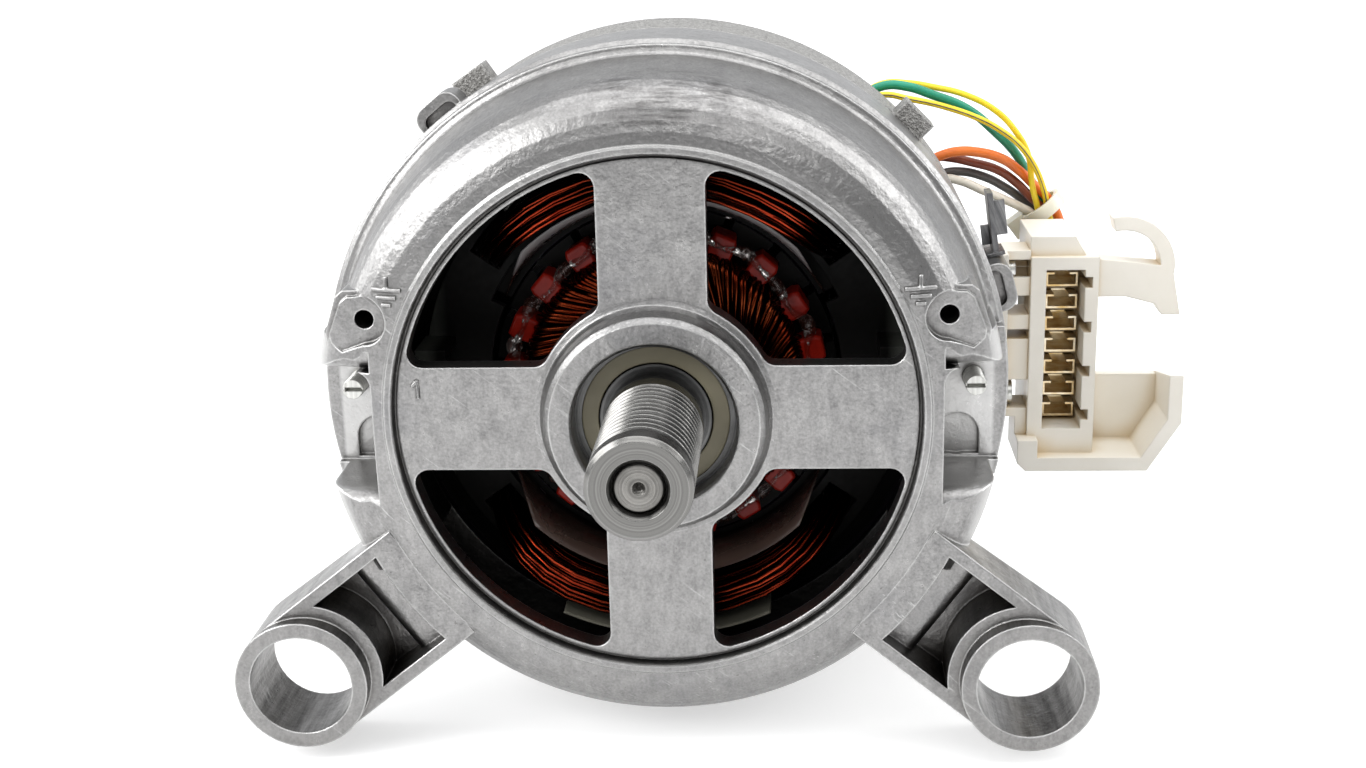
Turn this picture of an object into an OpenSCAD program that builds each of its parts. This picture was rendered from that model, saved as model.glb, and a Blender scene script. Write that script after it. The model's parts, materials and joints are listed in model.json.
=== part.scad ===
// Brushed washing machine motor: two cast shields round a wound two-pole stator,
// a slotted rotor on ball bearings, brush gear, speed sensor and a side connector.
// The shaft lies along Y. The origin is the centre of the pulley's front face.

/* [Pulley and shaft] */
// Outer diameter of the ribbed pulley
pulley_d = 18.8; // [17.6:0.1:20]
// Length of the pulley
pulley_len = 36; // [33:0.5:37]
// Number of belt ribs
rib_count = 12; // [8:1:13]
// Distance between neighbouring ribs
rib_pitch = 2.34; // [1.8:0.02:2.4]
// Depth of a rib groove
rib_depth = 1.2; // [0.6:0.1:1.6]
// Diameter of the shaft's spigot inside the pulley
spigot_d = 9.2; // [8:0.1:11]
// Diameter of the shaft in the front bearing
shaft_d = 15; // [14:0.1:16]
// Diameter of the shaft in the rear bearing
tail_d = 12; // [11:0.1:13]
// Distance from the pulley's front face to the spokes' face
spoke_y = 40.7; // [39:0.1:44]

/* [Bearings] */
// Outer diameter of the front bearing
front_bearing_d = 35; // [34:0.1:36]
// Width of the front bearing
front_bearing_w = 11; // [10:0.1:12]
// Outer diameter of the rear bearing
rear_bearing_d = 32; // [31:0.1:33]
// Width of the rear bearing
rear_bearing_w = 10; // [9:0.1:11]
// Balls in each bearing
ball_count = 8; // [6:1:8]

/* [Shields] */
// Wall of the shields outside the stator iron
rim_wall = 13.5; // [12.5:0.1:16]
// Radial step from the flange to the front shoulder
shoulder_step = 4.8; // [3:0.1:6]
// Radius of the rounded front shoulder
shoulder_round = 12; // [10:0.5:13]
// Depth from the spokes' face to the front edge of the flange
flange_depth = 23; // [20:0.5:26]
// Depth from the spokes' face to the joint of the shields
joint_depth = 46; // [44:0.5:50]
// Length of the rear shield's rim
rim_len = 26.3; // [25:0.1:30]
// Width of a front spoke
spoke_w = 20.4; // [16:0.2:24]
// Thickness of the front spokes
spoke_t = 5; // [4:0.25:6]
// Distance from the windows to the outside of the raised ring
window_rim = 3.2; // [3:0.1:7]
// Width of the raised ring
ridge_w = 1.7; // [1:0.1:2]
// Height of the raised ring over the spokes
ridge_h = 1.8; // [1:0.1:2.5]
// Diameter of the front hub's nose
hub_d = 41.8; // [40.5:0.2:44]
// Length of the hub's nose in front of the spokes
hub_nose = 5.5; // [4.5:0.1:8]
// Diameter of the opening in the hub's nose
hub_opening_d = 31; // [29.5:0.1:32]
// Wall of the rear bell
bell_wall = 4; // [3:0.25:5]
// Room between the field windings' slots and the rear bell
bell_room = 1.8; // [1.4:0.1:3]

/* [Feet] */
// Distance of each foot bore from the middle
foot_x = 71.2; // [68:0.1:76]
// Drop of the foot bores below the shaft
foot_drop = 52.8; // [50:0.1:54]
// Diameter of a foot bore
foot_bore_d = 20.4; // [18:0.1:22]
// Wall round a foot bore
foot_wall = 3; // [2.5:0.1:4]
// Length of a foot bore
foot_len = 17.7; // [14:0.1:20]
// Thickness of the ribs of a foot arm
foot_rib = 2.5; // [2.5:0.1:5]

/* [Stator and rotor] */
// Length of the iron stacks
stack_len = 42; // [40:0.5:44]
// Thickness of the stator's yoke
yoke_t = 7.3; // [6:0.1:8.5]
// Diameter of the rotor iron
rotor_d = 70; // [68:0.2:71]
// Air gap between rotor and stator
air_gap = 0.5; // [0.4:0.05:0.8]
// Thickness of the field winding's strand
field_strand = 2.4; // [1.6:0.1:2.5]
// Gap between neighbouring strands of the field winding
field_gap = 0.5; // [0.42:0.01:0.7]
// Loops of a field winding in one layer
field_loops = 5; // [3:1:5]
// Rotor slots, an even number
slot_count = 20; // [16:2:24]
// Thickness of the rotor winding's strand
rotor_strand = 2.3; // [1.6:0.1:2.4]
// Diameter of the commutator
commutator_d = 34; // [32:0.2:36]
// Length of the commutator's running face
commutator_len = 17; // [15:0.5:19]

/* [Brush gear] */
// Length of a carbon brush
brush_len = 30; // [24:0.5:32]
// Width of a carbon brush along the shaft
brush_w = 11; // [8:0.5:12]
// Thickness of a carbon brush
brush_t = 5; // [4:0.1:6]
// Clearance of a brush in its holder
brush_fit = 0.3; // [0.2:0.05:0.5]

/* [Connector] */
// Number of contacts
contact_count = 7; // [5:1:7]
// Distance between neighbouring contacts
contact_pitch = 5; // [4.6:0.1:5]
// Width of a contact
contact_w = 7; // [5:0.1:7.2]
// Distance from the flange to the connector housing
housing_gap = 8.7; // [8:0.1:11]
// Width of the connector housing
housing_w = 14.6; // [13.5:0.1:16]
// Wall of the connector housing
housing_wall = 2.8; // [2:0.1:3]

/* [Hidden] */
$fn = 64;

// Clearances
seat_fit = 0.02;
running_gap = 0.3;
ball_gap = 0.07;

// Depths along the shaft
hub_y = spoke_y - hub_nose;
front_bearing_y = spoke_y - 0.2;
flange_y = spoke_y + flange_depth;
joint_y = spoke_y + joint_depth;
rim_end_y = joint_y + rim_len;
stack_end_y = rim_end_y;
stack_y = stack_end_y - stack_len;
stack_mid_y = stack_y + stack_len / 2;
ridge_y = spoke_y - ridge_h;

// Windings
field_pitch = field_strand + field_gap;
bore_r = rotor_d / 2 + air_gap;
shoe_t = 4;
neck_half = 20;
field_r = bore_r + shoe_t + 1.8 + field_strand / 2;
field_half_span = field_r * 33 * PI / 180;
field_corner = 5;
field_overhang = 4;
yoke_in_r = field_r + field_pitch + field_strand / 2 + 1.6;
frame_t = 1.9;
field_turns = 2 * field_loops;

// Radii of the shields, from the iron outwards
stator_r = yoke_in_r + yoke_t;
flange_r = stator_r + rim_wall;
shoulder_r = flange_r - shoulder_step;
mouth_r = flange_r - 3;
front_cavity_r = shoulder_r - 3.7;
ridge_r = shoulder_r - shoulder_round;
window_r = ridge_r - window_rim;
hub_r = hub_d / 2;
hub_base_r = hub_r + 2.3;
bell_in_r = yoke_in_r + bell_room;
bell_r = bell_in_r + bell_wall;
window_round = 2.8;
window_hub_round = 3;

// Rotor
rotor_r = rotor_d / 2;
slot_step = 360 / slot_count;
slot_turn = 13;
wedge_t = 1.2;
wedge_r = rotor_r - 3.9;
strand_r = wedge_r - 1.4 - rotor_strand / 2;
fan_out = 10;
fan_inner_r = 14.6;
fan_twist = 10;
wedge_out = 4;
core_d = 17;

// Rear end
riser_y = stack_end_y + fan_out + rotor_strand / 2 + 1.4;
riser_len = 2.5;
commutator_y = riser_y + riser_len;
commutator_end_y = commutator_y + commutator_len;
brush_y = commutator_y + commutator_len / 2;
rear_bearing_y = commutator_end_y + 3;
rear_disc_y = rear_bearing_y + 4;
rear_disc_t = 4;
rear_seat_end_y = rear_bearing_y + rear_bearing_w + 1;
rear_hub_y = rear_seat_end_y + 2.5;
rear_hub_r = rear_bearing_d / 2 + 4;
magnet_y = rear_hub_y + 1.5;
magnet_len = 8;
magnet_r = 8;
magnet_seat_d = 8;
cap_r = 17;
cap_wall = 1.6;
cap_len = 14;

// Brush holders
channel_w = brush_w + 2 * brush_fit;
channel_t = brush_t + 2 * brush_fit;
holder_wall = 2.2;
holder_w = channel_w + 2 * holder_wall;
holder_t = channel_t + 2 * holder_wall;
holder_in_x = commutator_d / 2 + 4;
pad_x = flange_r - 5;
plate_t = 3;
plate_w = holder_w + 8;
plate_h = 30;
tail_x = pad_x + 14;
brush_x = commutator_d / 2 + running_gap;
spring_x = brush_x + brush_len;
spring_end_x = pad_x + plate_t + 2;
function holder_screw_at(s) = [pad_x, brush_y - s * (plate_w / 2 - 3.2), s * (plate_h / 2 - 3.5)];

// Clamp screws, in the recesses of the front shoulder
clamp_x = flange_r - 7.3;
clamp_z = 1.9;
clamp_d = 4;
clamp_tip_y = spoke_y + 14.3;
recess_floor_y = spoke_y + 21.3;
recess_x = flange_r - 14.7;
recess_top = 9.5;
recess_bottom = -15;
recess_wall = 3;
hollow_r = 4.4;
hollow_top = -5.8;
hollow_depth = 1.6;
recess_round = 4;
recess_lean = 12;
lug_r = flange_r - 2.4;
lug_round = 8;

// Earth holes, each on a flat pad of the shoulder
earth_x = flange_r - 13.8;
earth_z = 19.4;
earth_d = 3.7;
earth_len = 12;
earth_face_y = spoke_y + 1.9;

// Feet
foot_r = foot_bore_d / 2 + foot_wall;
foot_y = spoke_y - 6.7;
foot_lip = 2;
foot_span = norm([foot_x, foot_drop]);
foot_angle = atan2(foot_drop, foot_x);

// Connector
housing_x = flange_r + housing_gap;
housing_y = spoke_y + 60;
housing_back_y = spoke_y + 82;
housing_top = 17.2;
contact_top = 10.8;
contact_y = housing_y + 7;
contact_h = 3.2;
contact_fit = 0.15;
contact_x = housing_x + housing_w / 2 + 0.4;
cavity_y = housing_y + 12;
tray_y = spoke_y + 56;
tray_floor = contact_top - (contact_count - 1) * contact_pitch - 11;
tray_wall = 3;
tray_right = housing_x + 33;
tray_top = tray_floor + 18;
bracket_face_x = flange_r + 1.5;
bracket_y = housing_y - 3;
bracket_len = 14;
bracket_t = 2;
bracket_top = 18.5;
bracket_bottom = -19;
bracket_screw_z = 14;

// Lead exits: angle round the shaft, distance of the grommet's face from the shaft
exit_y = rim_end_y + 9;
exit_face_r = bell_r + 2.5;
exit_shank_r = 5.8;
exit_flange_r = 7.2;
exit_angles = [50, 30];

// Bundle of leads where the tie holds it
tie_at = [housing_x + 5.7, housing_back_y + 6.7, housing_top + 5.4];
tie_tilt = -37;
tie_in_r = 4.3;
tie_t = 1.1;
tie_w = 3;

// Shapes in the front view are drawn with X to the right and Z up.
module plate(from_y, to_y) {
    translate([0, to_y, 0]) rotate([90, 0, 0]) linear_extrude(to_y - from_y) children();
}

// A turned shape is drawn as [radius, depth along the shaft].
module turned() {
    rotate([-90, 0, 0]) rotate_extrude($fn = 96) children();
}

module ring(r_in, r_out, from_y, to_y) {
    turned() translate([r_in, from_y]) square([r_out - r_in, to_y - from_y]);
}

module rod(r, from_y, to_y) {
    translate([0, to_y, 0]) rotate([90, 0, 0]) cylinder(r = r, h = to_y - from_y);
}

// Turns children round the shaft, anticlockwise as seen from the pulley.
module at_angle(a) {
    rotate([0, -a, 0]) children();
}

module both_sides() {
    children();
    mirror([1, 0, 0]) children();
}

module block(from, to) {
    translate(from) cube(to - from);
}

function unit(v) = v / norm(v);
function polar(r, a) = [r * cos(a), r * sin(a)];
function arc(c, r, a0, a1, n) = [for (i = [0:n]) c + polar(r, a0 + (a1 - a0) * i / n)];
function all_but_last(p) = [for (i = [0:len(p) - 2]) p[i]];
function sector(r0, r1, a0, a1) = concat(arc([0, 0], r1, a0, a1, 12), arc([0, 0], r0, a1, a0, 12));

// One window between two spokes: half of its outline, up to the diagonal.
function half_window(r_in, r_out, half_w, round_in, round_out) =
    let (
        c_in = [half_w + round_in, sqrt(pow(r_in + round_in, 2) - pow(half_w + round_in, 2))],
        c_out = [half_w + round_out, sqrt(pow(r_out - round_out, 2) - pow(half_w + round_out, 2))],
        a_in = atan2(c_in.y, c_in.x),
        a_out = atan2(c_out.y, c_out.x)
    )
    concat(
        all_but_last(arc([0, 0], r_in, 45, a_in, 6)),
        arc(c_in, round_in, a_in + 180, 180, 5),
        all_but_last(arc(c_out, round_out, 180, a_out, 6)),
        arc([0, 0], r_out, a_out, 45, 8)
    );

function window_outline(half) = concat(
    half,
    [for (i = [len(half) - 2:-1:1]) [half[i].y, half[i].x]]
);

// A round strand swept along points, as one closed tube.
function tangents(p) = [
    for (i = [0:len(p) - 1]) unit(p[min(i + 1, len(p) - 1)] - p[max(i - 1, 0)])
];
function side_of(t) = unit(cross(t, abs(t.z) < 0.8 ? [0, 0, 1] : [1, 0, 0]));
function carried(n, t) = unit(n - (n * t) * t);
function normals(t) = [
    for (i = 0, n = side_of(t[0]); i < len(t); i = i + 1, n = carried(n, t[min(i, len(t) - 1)])) n
];

module strand(p, d, sides) {
    t = tangents(p);
    n = normals(t);
    rings = len(p);
    corners = [
        for (i = [0:rings - 1], k = [0:sides - 1])
            p[i] + d / 2 * (cos(360 * k / sides) * n[i] + sin(360 * k / sides) * cross(t[i], n[i]))
    ];
    walls = [
        for (i = [0:rings - 2], k = [0:sides - 1], half = [0, 1])
            let (a = i * sides + k, b = i * sides + (k + 1) % sides)
            half == 0 ? [a, a + sides, b + sides] : [a, b + sides, b]
    ];
    last = (rings - 1) * sides;
    caps = [
        for (k = [1:sides - 2], end = [0, 1])
            end == 0 ? [0, k, k + 1] : [last, last + k + 1, last + k]
    ];
    polyhedron(points = corners, faces = concat(walls, caps));
}

// Least distance between the centre points of a strand that are at least skip points apart.
function least_gap(p, d, skip) = min([
    for (i = [0:len(p) - 1 - skip]) min([for (j = [i + skip:len(p) - 1]) norm(p[i] - p[j])])
]) - d;

// Cast front shield

function shoulder_curve() = arc(
    [shoulder_r - shoulder_round, spoke_y - 1.3 + shoulder_round], shoulder_round, -90, 0, 8
);

function step_curve() = arc([mouth_r + 2, flange_y - 2.6], 2, 180, 90, 4);

module front_casting() {
    turned() polygon(concat(
        [
            [hub_opening_d / 2, hub_y + 0.6],
            [hub_opening_d / 2 + 0.6, hub_y],
            [hub_r - 1, hub_y],
            [hub_r, hub_y + 1],
            [hub_r + 0.6, spoke_y - 1.6],
            [hub_base_r - 1, spoke_y - 0.4],
            [hub_base_r, spoke_y],
            [ridge_r - ridge_w - 0.8, spoke_y],
            [ridge_r - ridge_w - 0.6, spoke_y + 0.7],
            [ridge_r - ridge_w - 0.2, spoke_y + 0.7],
            [ridge_r - ridge_w, ridge_y + 0.3],
            [ridge_r - ridge_w + 0.3, ridge_y],
            [ridge_r - 0.3, ridge_y],
            [ridge_r, spoke_y - 1.5]
        ],
        shoulder_curve(),
        step_curve(),
        [
            [flange_r - 0.8, flange_y],
            [flange_r, flange_y + 0.8],
            [flange_r, joint_y],
            [stator_r + seat_fit, joint_y],
            [stator_r + seat_fit, stack_y],
            [stator_r - 2, stack_y],
            [stator_r - 2, stack_y - 3],
            [front_cavity_r, recess_floor_y + 4],
            [front_cavity_r, spoke_y + spoke_t + 6],
            [front_cavity_r - 4, spoke_y + spoke_t + 1],
            [front_cavity_r - 8, spoke_y + spoke_t],
            [hub_base_r + 1, spoke_y + spoke_t],
            [hub_base_r - 0.6, spoke_y + spoke_t + 1.6],
            [hub_base_r - 1.2, front_bearing_y + front_bearing_w + 1],
            [front_bearing_d / 2 + seat_fit, front_bearing_y + front_bearing_w + 1],
            [front_bearing_d / 2 + seat_fit, front_bearing_y],
            [hub_opening_d / 2, front_bearing_y]
        ]
    ));
}

module front_windows() {
    half = half_window(hub_base_r + 0.3, window_r, spoke_w / 2, window_hub_round, window_round);
    for (a = [0:90:270])
        at_angle(a) plate(ridge_y - 2, spoke_y + spoke_t + 2) polygon(window_outline(half));
}

// The arm of a foot is drawn at the boss, with its length towards the shaft.
module foot_arm() {
    reach = foot_span - ridge_r - 4;
    pocket_end_r = shoulder_r - 1.8;
    boss_end = foot_y + foot_len;
    arm_front = foot_y + foot_lip;
    arm_root = spoke_y - 0.2;
    pocket_half = foot_r - foot_rib;
    difference() {
        translate([0, 0, -foot_r]) linear_extrude(2 * foot_r)
            polygon([[0, arm_front], [reach, arm_root], [reach, boss_end], [0, boss_end]]);
        difference() {
            plate(arm_front - 1, boss_end - 2.2)
                translate([0, -pocket_half]) square([reach, 2 * pocket_half]);
            rod(foot_r + 2.4, arm_front - 2, boss_end);
            translate([foot_span, 0, 0]) rod(pocket_end_r, arm_front - 2, boss_end);
        }
    }
    // Raised step at the root of the pocket
    step_r = 3;
    step_x = foot_r + 5.6;
    step_y = boss_end - 7;
    block([step_x + step_r, step_y, -pocket_half], [reach, boss_end, pocket_half]);
    block([step_x, step_y + step_r, -pocket_half], [reach, boss_end, pocket_half]);
    translate([step_x + step_r, step_y + step_r, -pocket_half])
        cylinder(r = step_r, h = 2 * pocket_half);
}

module foot_boss() {
    rod(foot_r, foot_y, foot_y + foot_len);
}

module place_foot() {
    translate([foot_x, 0, -foot_drop]) rotate([0, foot_angle - 180, 0]) children();
}

// Outline of the flat pad round an earth hole, in the front view
module pad_outline(extra) {
    translate([earth_x, earth_z]) {
        circle(r = 4.6 + extra);
        polygon([
            [0, -4.6 - extra], [4.5, -6.2 - extra], [6.7 + extra, -4.7 - extra], [7 + extra, -3],
            [4.6 + extra, 3.2 + extra], [3.2 + extra, 4.3 + extra], [0, 4.4 + extra]
        ]);
    }
}

// Fuller part of the shoulder, from the pad down to the foot
module side_lug() {
    inner_r = recess_x - recess_wall;
    front_y = spoke_y + 0.6;
    intersection() {
        turned() polygon(concat(
            [[inner_r, recess_floor_y + 1], [inner_r, front_y]],
            arc([lug_r - lug_round, front_y + lug_round], lug_round, -90, 0, 6),
            [[lug_r, recess_floor_y + 1]]
        ));
        plate(spoke_y, recess_floor_y + 1) polygon([[0, 0], polar(2 * lug_r, -30), polar(2 * lug_r, 14)]);
    }
}

// Solid lumps behind the pad and round the recess
module side_lumps() {
    plate(earth_face_y, recess_floor_y) pad_outline(0);
    plate(earth_face_y + 1.2, recess_floor_y) pad_outline(1);
    side_lug();
    block(
        [recess_x - recess_wall, spoke_y + 4, recess_bottom - 1],
        [recess_x + 1, recess_floor_y, recess_top + 1]
    );
    block(
        [recess_x - recess_wall, recess_floor_y - 2, recess_bottom - 3],
        [flange_r, stack_y - 0.5, recess_top + 3]
    );
}

// Keeps what is drawn at the side clear of the windings and inside the flange.
module in_side_wall() {
    intersection() {
        children();
        ring(recess_x - recess_wall + 0.4, flange_r - 0.4, spoke_y, stack_y - 0.2);
    }
}

module side_recess() {
    round_r = 3;
    corner_z = recess_top - round_r;
    reach = flange_r - recess_x + 6;
    plate(spoke_y - 4, recess_floor_y) union() {
        translate([recess_x, recess_bottom]) square([reach, corner_z - recess_bottom]);
        translate([recess_x + round_r, corner_z - 0.01]) square([reach, round_r + 0.01]);
        translate([recess_x + round_r, corner_z]) circle(r = round_r);
    }
    // Rounded front edges of its top and of its ledge
    for (edge = [[recess_top, 1], [recess_bottom, -1]])
        translate([recess_x, spoke_y - 0.5, edge[0]]) mirror([0, 0, edge[1] < 0 ? 0 : 1])
            rotate([0, 0, recess_lean]) difference() {
                block([0, -6, -recess_round], [reach, recess_round, 0.01]);
                translate([-1, recess_round, -recess_round]) rotate([0, 90, 0])
                    cylinder(r = recess_round, h = reach + 2);
            }
    // Deeper hollow with an arched top
    hollow_end_y = recess_floor_y + hollow_depth;
    translate([recess_x + hollow_r, 0, hollow_top - hollow_r])
        rod(hollow_r, recess_floor_y - 1, hollow_end_y);
    block(
        [recess_x, recess_floor_y - 1, recess_bottom + 0.6],
        [recess_x + 2 * hollow_r, hollow_end_y, hollow_top - hollow_r]
    );
}

ear_r = flange_r + 4;
ear_half = 5;
left_ear_angle = 129.2;
right_ear_angle = 14.5;
ear_y = joint_y - 15;
ear_round = 3;
ear_hollow_r = 1.8;

// A rounded ear with a shallow hollow in its front
module front_ear(length) {
    difference() {
        plate(ear_y, ear_y + length) {
            translate([flange_r - 4, -ear_half]) square([ear_r - ear_round - flange_r + 4, 2 * ear_half]);
            translate([flange_r - 4, ear_round - ear_half])
                square([ear_r - flange_r + 4, 2 * (ear_half - ear_round)]);
            for (s = [-1, 1])
                translate([ear_r - ear_round, s * (ear_half - ear_round)]) circle(r = ear_round);
        }
        plate(ear_y - 1, ear_y + 2) translate([ear_r - ear_round - 0.9, 0]) {
            square([2 * ear_hollow_r, 2 * (ear_half - ear_round)], center = true);
            for (s = [-1, 1])
                translate([0, s * (ear_half - ear_round)]) circle(r = ear_hollow_r);
        }
    }
}

module front_shield() {
    color([0.72, 0.72, 0.71]) difference() {
        union() {
            difference() {
                union() {
                    front_casting();
                    both_sides() in_side_wall() side_lumps();
                }
                front_windows();
                both_sides() {
                    side_recess();
                    plate(spoke_y - 4, earth_face_y) pad_outline(0);
                }
            }
            both_sides() {
                difference() {
                    place_foot() {
                        foot_arm();
                        foot_boss();
                    }
                    rod(front_cavity_r + 1.2, spoke_y + 4, foot_y + foot_len + 1);
                }
            }
            at_angle(left_ear_angle) front_ear(8);
            at_angle(right_ear_angle) front_ear(joint_y - ear_y);
        }
        both_sides() {
            translate([foot_x, 0, -foot_drop]) rod(foot_bore_d / 2, foot_y - 1, foot_y + foot_len + 1);
            translate([earth_x, 0, earth_z]) rod(earth_d / 2, earth_face_y - 1, earth_face_y + earth_len);
            translate([clamp_x, 0, clamp_z]) rod(clamp_d / 2 + seat_fit, spoke_y, joint_y + 1);
        }
    }
}

// Cast rear shield

rear_window_r = bell_in_r - 4.7;
rear_window_round = 5;
rear_ear_len = 7;
rear_ear_half = 3.8;

module rear_casting() {
    round_r = 8;
    back_y = rear_disc_y + rear_disc_t;
    turned() polygon(concat(
        [
            [stator_r + seat_fit, joint_y],
            [flange_r - 0.6, joint_y],
            [flange_r, joint_y + 0.6],
            [flange_r, rim_end_y - 2],
            [flange_r - 2, rim_end_y],
            [bell_r + 2, rim_end_y],
            [bell_r, rim_end_y + 2]
        ],
        arc([bell_r - round_r - 0.6, back_y - round_r], round_r, 0, 90, 6),
        [
            [rear_hub_r + 1.5, back_y],
            [rear_hub_r, back_y + 1.5],
            [rear_hub_r, rear_hub_y],
            [tail_d / 2 + 2, rear_hub_y],
            [tail_d / 2 + 2, rear_seat_end_y],
            [rear_bearing_d / 2 + seat_fit, rear_seat_end_y],
            [rear_bearing_d / 2 + seat_fit, rear_bearing_y - 0.5],
            [rear_hub_r, rear_bearing_y - 0.5],
            [rear_hub_r, rear_disc_y],
            [bell_in_r - 4, rear_disc_y],
            [bell_in_r, rear_disc_y - 4],
            [bell_in_r, rim_end_y]
        ],
        [[stator_r + seat_fit, rim_end_y]]
    ));
}

module rear_windows() {
    half = half_window(rear_hub_r + 4, rear_window_r, spoke_w / 2, window_hub_round, rear_window_round);
    for (a = [0:90:270])
        at_angle(a) plate(rear_disc_y - 1, rear_disc_y + rear_disc_t + 2) polygon(window_outline(half));
}

module rear_ear(a) {
    at_angle(a) block(
        [flange_r - 4, joint_y, -rear_ear_half],
        [ear_r, joint_y + rear_ear_len, rear_ear_half]
    );
}

module brush_pad() {
    block(
        [bell_in_r - 2, brush_y - plate_w / 2 - 1, -plate_h / 2 - 1],
        [pad_x, brush_y + plate_w / 2 + 1, plate_h / 2 + 1]
    );
}

module exit_place(a) {
    at_angle(a) translate([0, exit_y, 0]) rotate([0, 90, 0]) children();
}

module rear_shield() {
    color([0.66, 0.66, 0.65]) difference() {
        union() {
            rear_casting();
            rear_ear(124.2);
            rear_ear(44);
            both_sides() difference() {
                brush_pad();
                rod(bell_in_r + 1.4, rim_end_y, rear_disc_y + 1);
            }
            // Pad of the connector bracket
            block(
                [flange_r - 9, bracket_y, bracket_bottom + 1],
                [bracket_face_x, bracket_y + bracket_len, bracket_top - 0.5]
            );
        }
        rear_windows();
        both_sides() {
            block(
                [commutator_d / 2, brush_y - holder_w / 2 - 0.2, -holder_t / 2 - 0.2],
                [pad_x + 1, brush_y + holder_w / 2 + 0.2, holder_t / 2 + 0.2]
            );
            for (s = [-1, 1])
                translate(holder_screw_at(s)) rotate([0, 90, 0])
                    cylinder(d = 3 + 2 * seat_fit, h = 20, center = true);
            translate([clamp_x, 0, clamp_z]) rod(clamp_d / 2 + 0.2, joint_y - 1, rim_end_y + 1);
        }
        for (a = exit_angles)
            exit_place(a) cylinder(r = exit_shank_r + 0.2, h = exit_face_r + 4);
        for (s = [-1, 1])
            translate([bracket_face_x, bracket_y + bracket_len / 2, s * bracket_screw_z]) rotate([0, 90, 0])
                cylinder(d = 3 + 2 * seat_fit, h = 16, center = true);
    }
}

// Stator

module stator_core() {
    shoe_half = 62;
    color([0.32, 0.32, 0.34]) difference() {
        union() {
            ring(yoke_in_r, stator_r, stack_y, stack_end_y);
            for (a = [0, 180]) at_angle(a + 90) {
                plate(stack_y, stack_end_y)
                    polygon(sector(bore_r, bore_r + shoe_t, -shoe_half, shoe_half));
                block([bore_r + 1, stack_y, -neck_half], [yoke_in_r + 1, stack_end_y, neck_half]);
            }
        }
        rod(bore_r, stack_y - 1, stack_end_y + 1);
    }
}

// Stations round one saddle loop: corner centre across, corner centre along, direction.
field_stations = concat(
    [for (a = [0:30:90]) [1, 1, a]],
    [for (k = [0.6, 0.2, -0.2, -0.6]) [k, 1, 90]],
    [for (a = [90:30:180]) [-1, 1, a]],
    [for (a = [180:30:270]) [-1, -1, a]],
    [for (k = [-0.6, -0.2, 0.2, 0.6]) [k, -1, 270]],
    [for (a = [270:30:360]) [1, -1, a]]
);

// The loops spiral out on the inner layer, climb in half a turn and spiral in on the outer layer.
function field_point(i) =
    let (
        count = len(field_stations),
        turn = i / count,
        station = field_stations[i % count],
        spread = field_pitch * (turn < field_loops ? turn : field_turns - turn),
        climb = max(0, min(1, (turn - field_loops) * 2 + 0.5)),
        r = field_r + field_pitch * climb,
        across = station[0] * (field_half_span - field_corner) + (field_corner + spread) * cos(station[2]),
        half_len = stack_len / 2 + field_overhang - field_corner,
        along = station[1] * half_len + (field_corner + spread) * sin(station[2]),
        angle = 90 - across / field_r * 180 / PI
    )
    [r * cos(angle), stack_mid_y - along, r * sin(angle)];

field_path = [for (i = [0:field_turns * len(field_stations) - 1]) field_point(i)];
echo(field_coil_least_gap = least_gap(field_path, field_strand, len(field_stations) / 2));

module field_coil() {
    color([0.62, 0.25, 0.12]) strand(field_path, field_strand, 6);
}

module upper_field_coil() {
    field_coil();
}

module lower_field_coil() {
    rotate([0, 180, 0]) field_coil();
}

frame_out_r = bell_in_r - 0.5;

module coil_frame() {
    coil_end = 90 - (field_half_span + field_pitch * field_loops) / field_r * 180 / PI;
    slot_from = coil_end - 3;
    slot_to = 61;
    difference() {
        plate(stack_y - frame_t, stack_y) difference() {
            circle(r = frame_out_r, $fn = 96);
            difference() {
                circle(r = bore_r + shoe_t - 0.6, $fn = 96);
                // The ring reaches further in between the two poles.
                for (side = [0, 180])
                    rotate(side) polygon(sector(bore_r + 0.5, bore_r + shoe_t, -25, 25));
            }
            for (side = [0, 180], m = [0, 1])
                mirror([0, m]) rotate(side)
                    polygon(sector(field_r - 2, yoke_in_r - 0.8, slot_from, slot_to));
            for (side = [0, 180], m = [0, 1])
                mirror([m, 0]) mirror([0, side / 180])
                    polygon(sector(field_r - 2, yoke_in_r - 0.8, slot_from, slot_to));
        }
    }
    // Upright posts and cross bars between the coils
    post_end = stack_y - frame_t - 12;
    both_sides() {
        for (z = [-9, -1, 7])
            block([bore_r + shoe_t + 3.5, post_end, z], [yoke_in_r + 1, stack_y - frame_t, z + 2.2]);
        block([bore_r + shoe_t + 8, post_end, -9], [yoke_in_r + 1, post_end + 2.2, 9]);
    }
}

module front_coil_frame() {
    color([0.86, 0.85, 0.80]) coil_frame();
}

module rear_coil_frame() {
    color([0.86, 0.85, 0.80])
        translate([0, 2 * stack_mid_y, 0]) mirror([0, 1, 0]) coil_frame();
}

// Films under the two coils, as long as the pole faces
module insulating_sleeve() {
    film_from = 29;
    color([0.55, 0.53, 0.50])
        for (side = [0, 180])
            plate(stack_y - 12, stack_y)
                rotate(side) polygon(sector(bore_r + 1.7, bore_r + 2.4, film_from, 180 - film_from));
}

// Rotor

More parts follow.
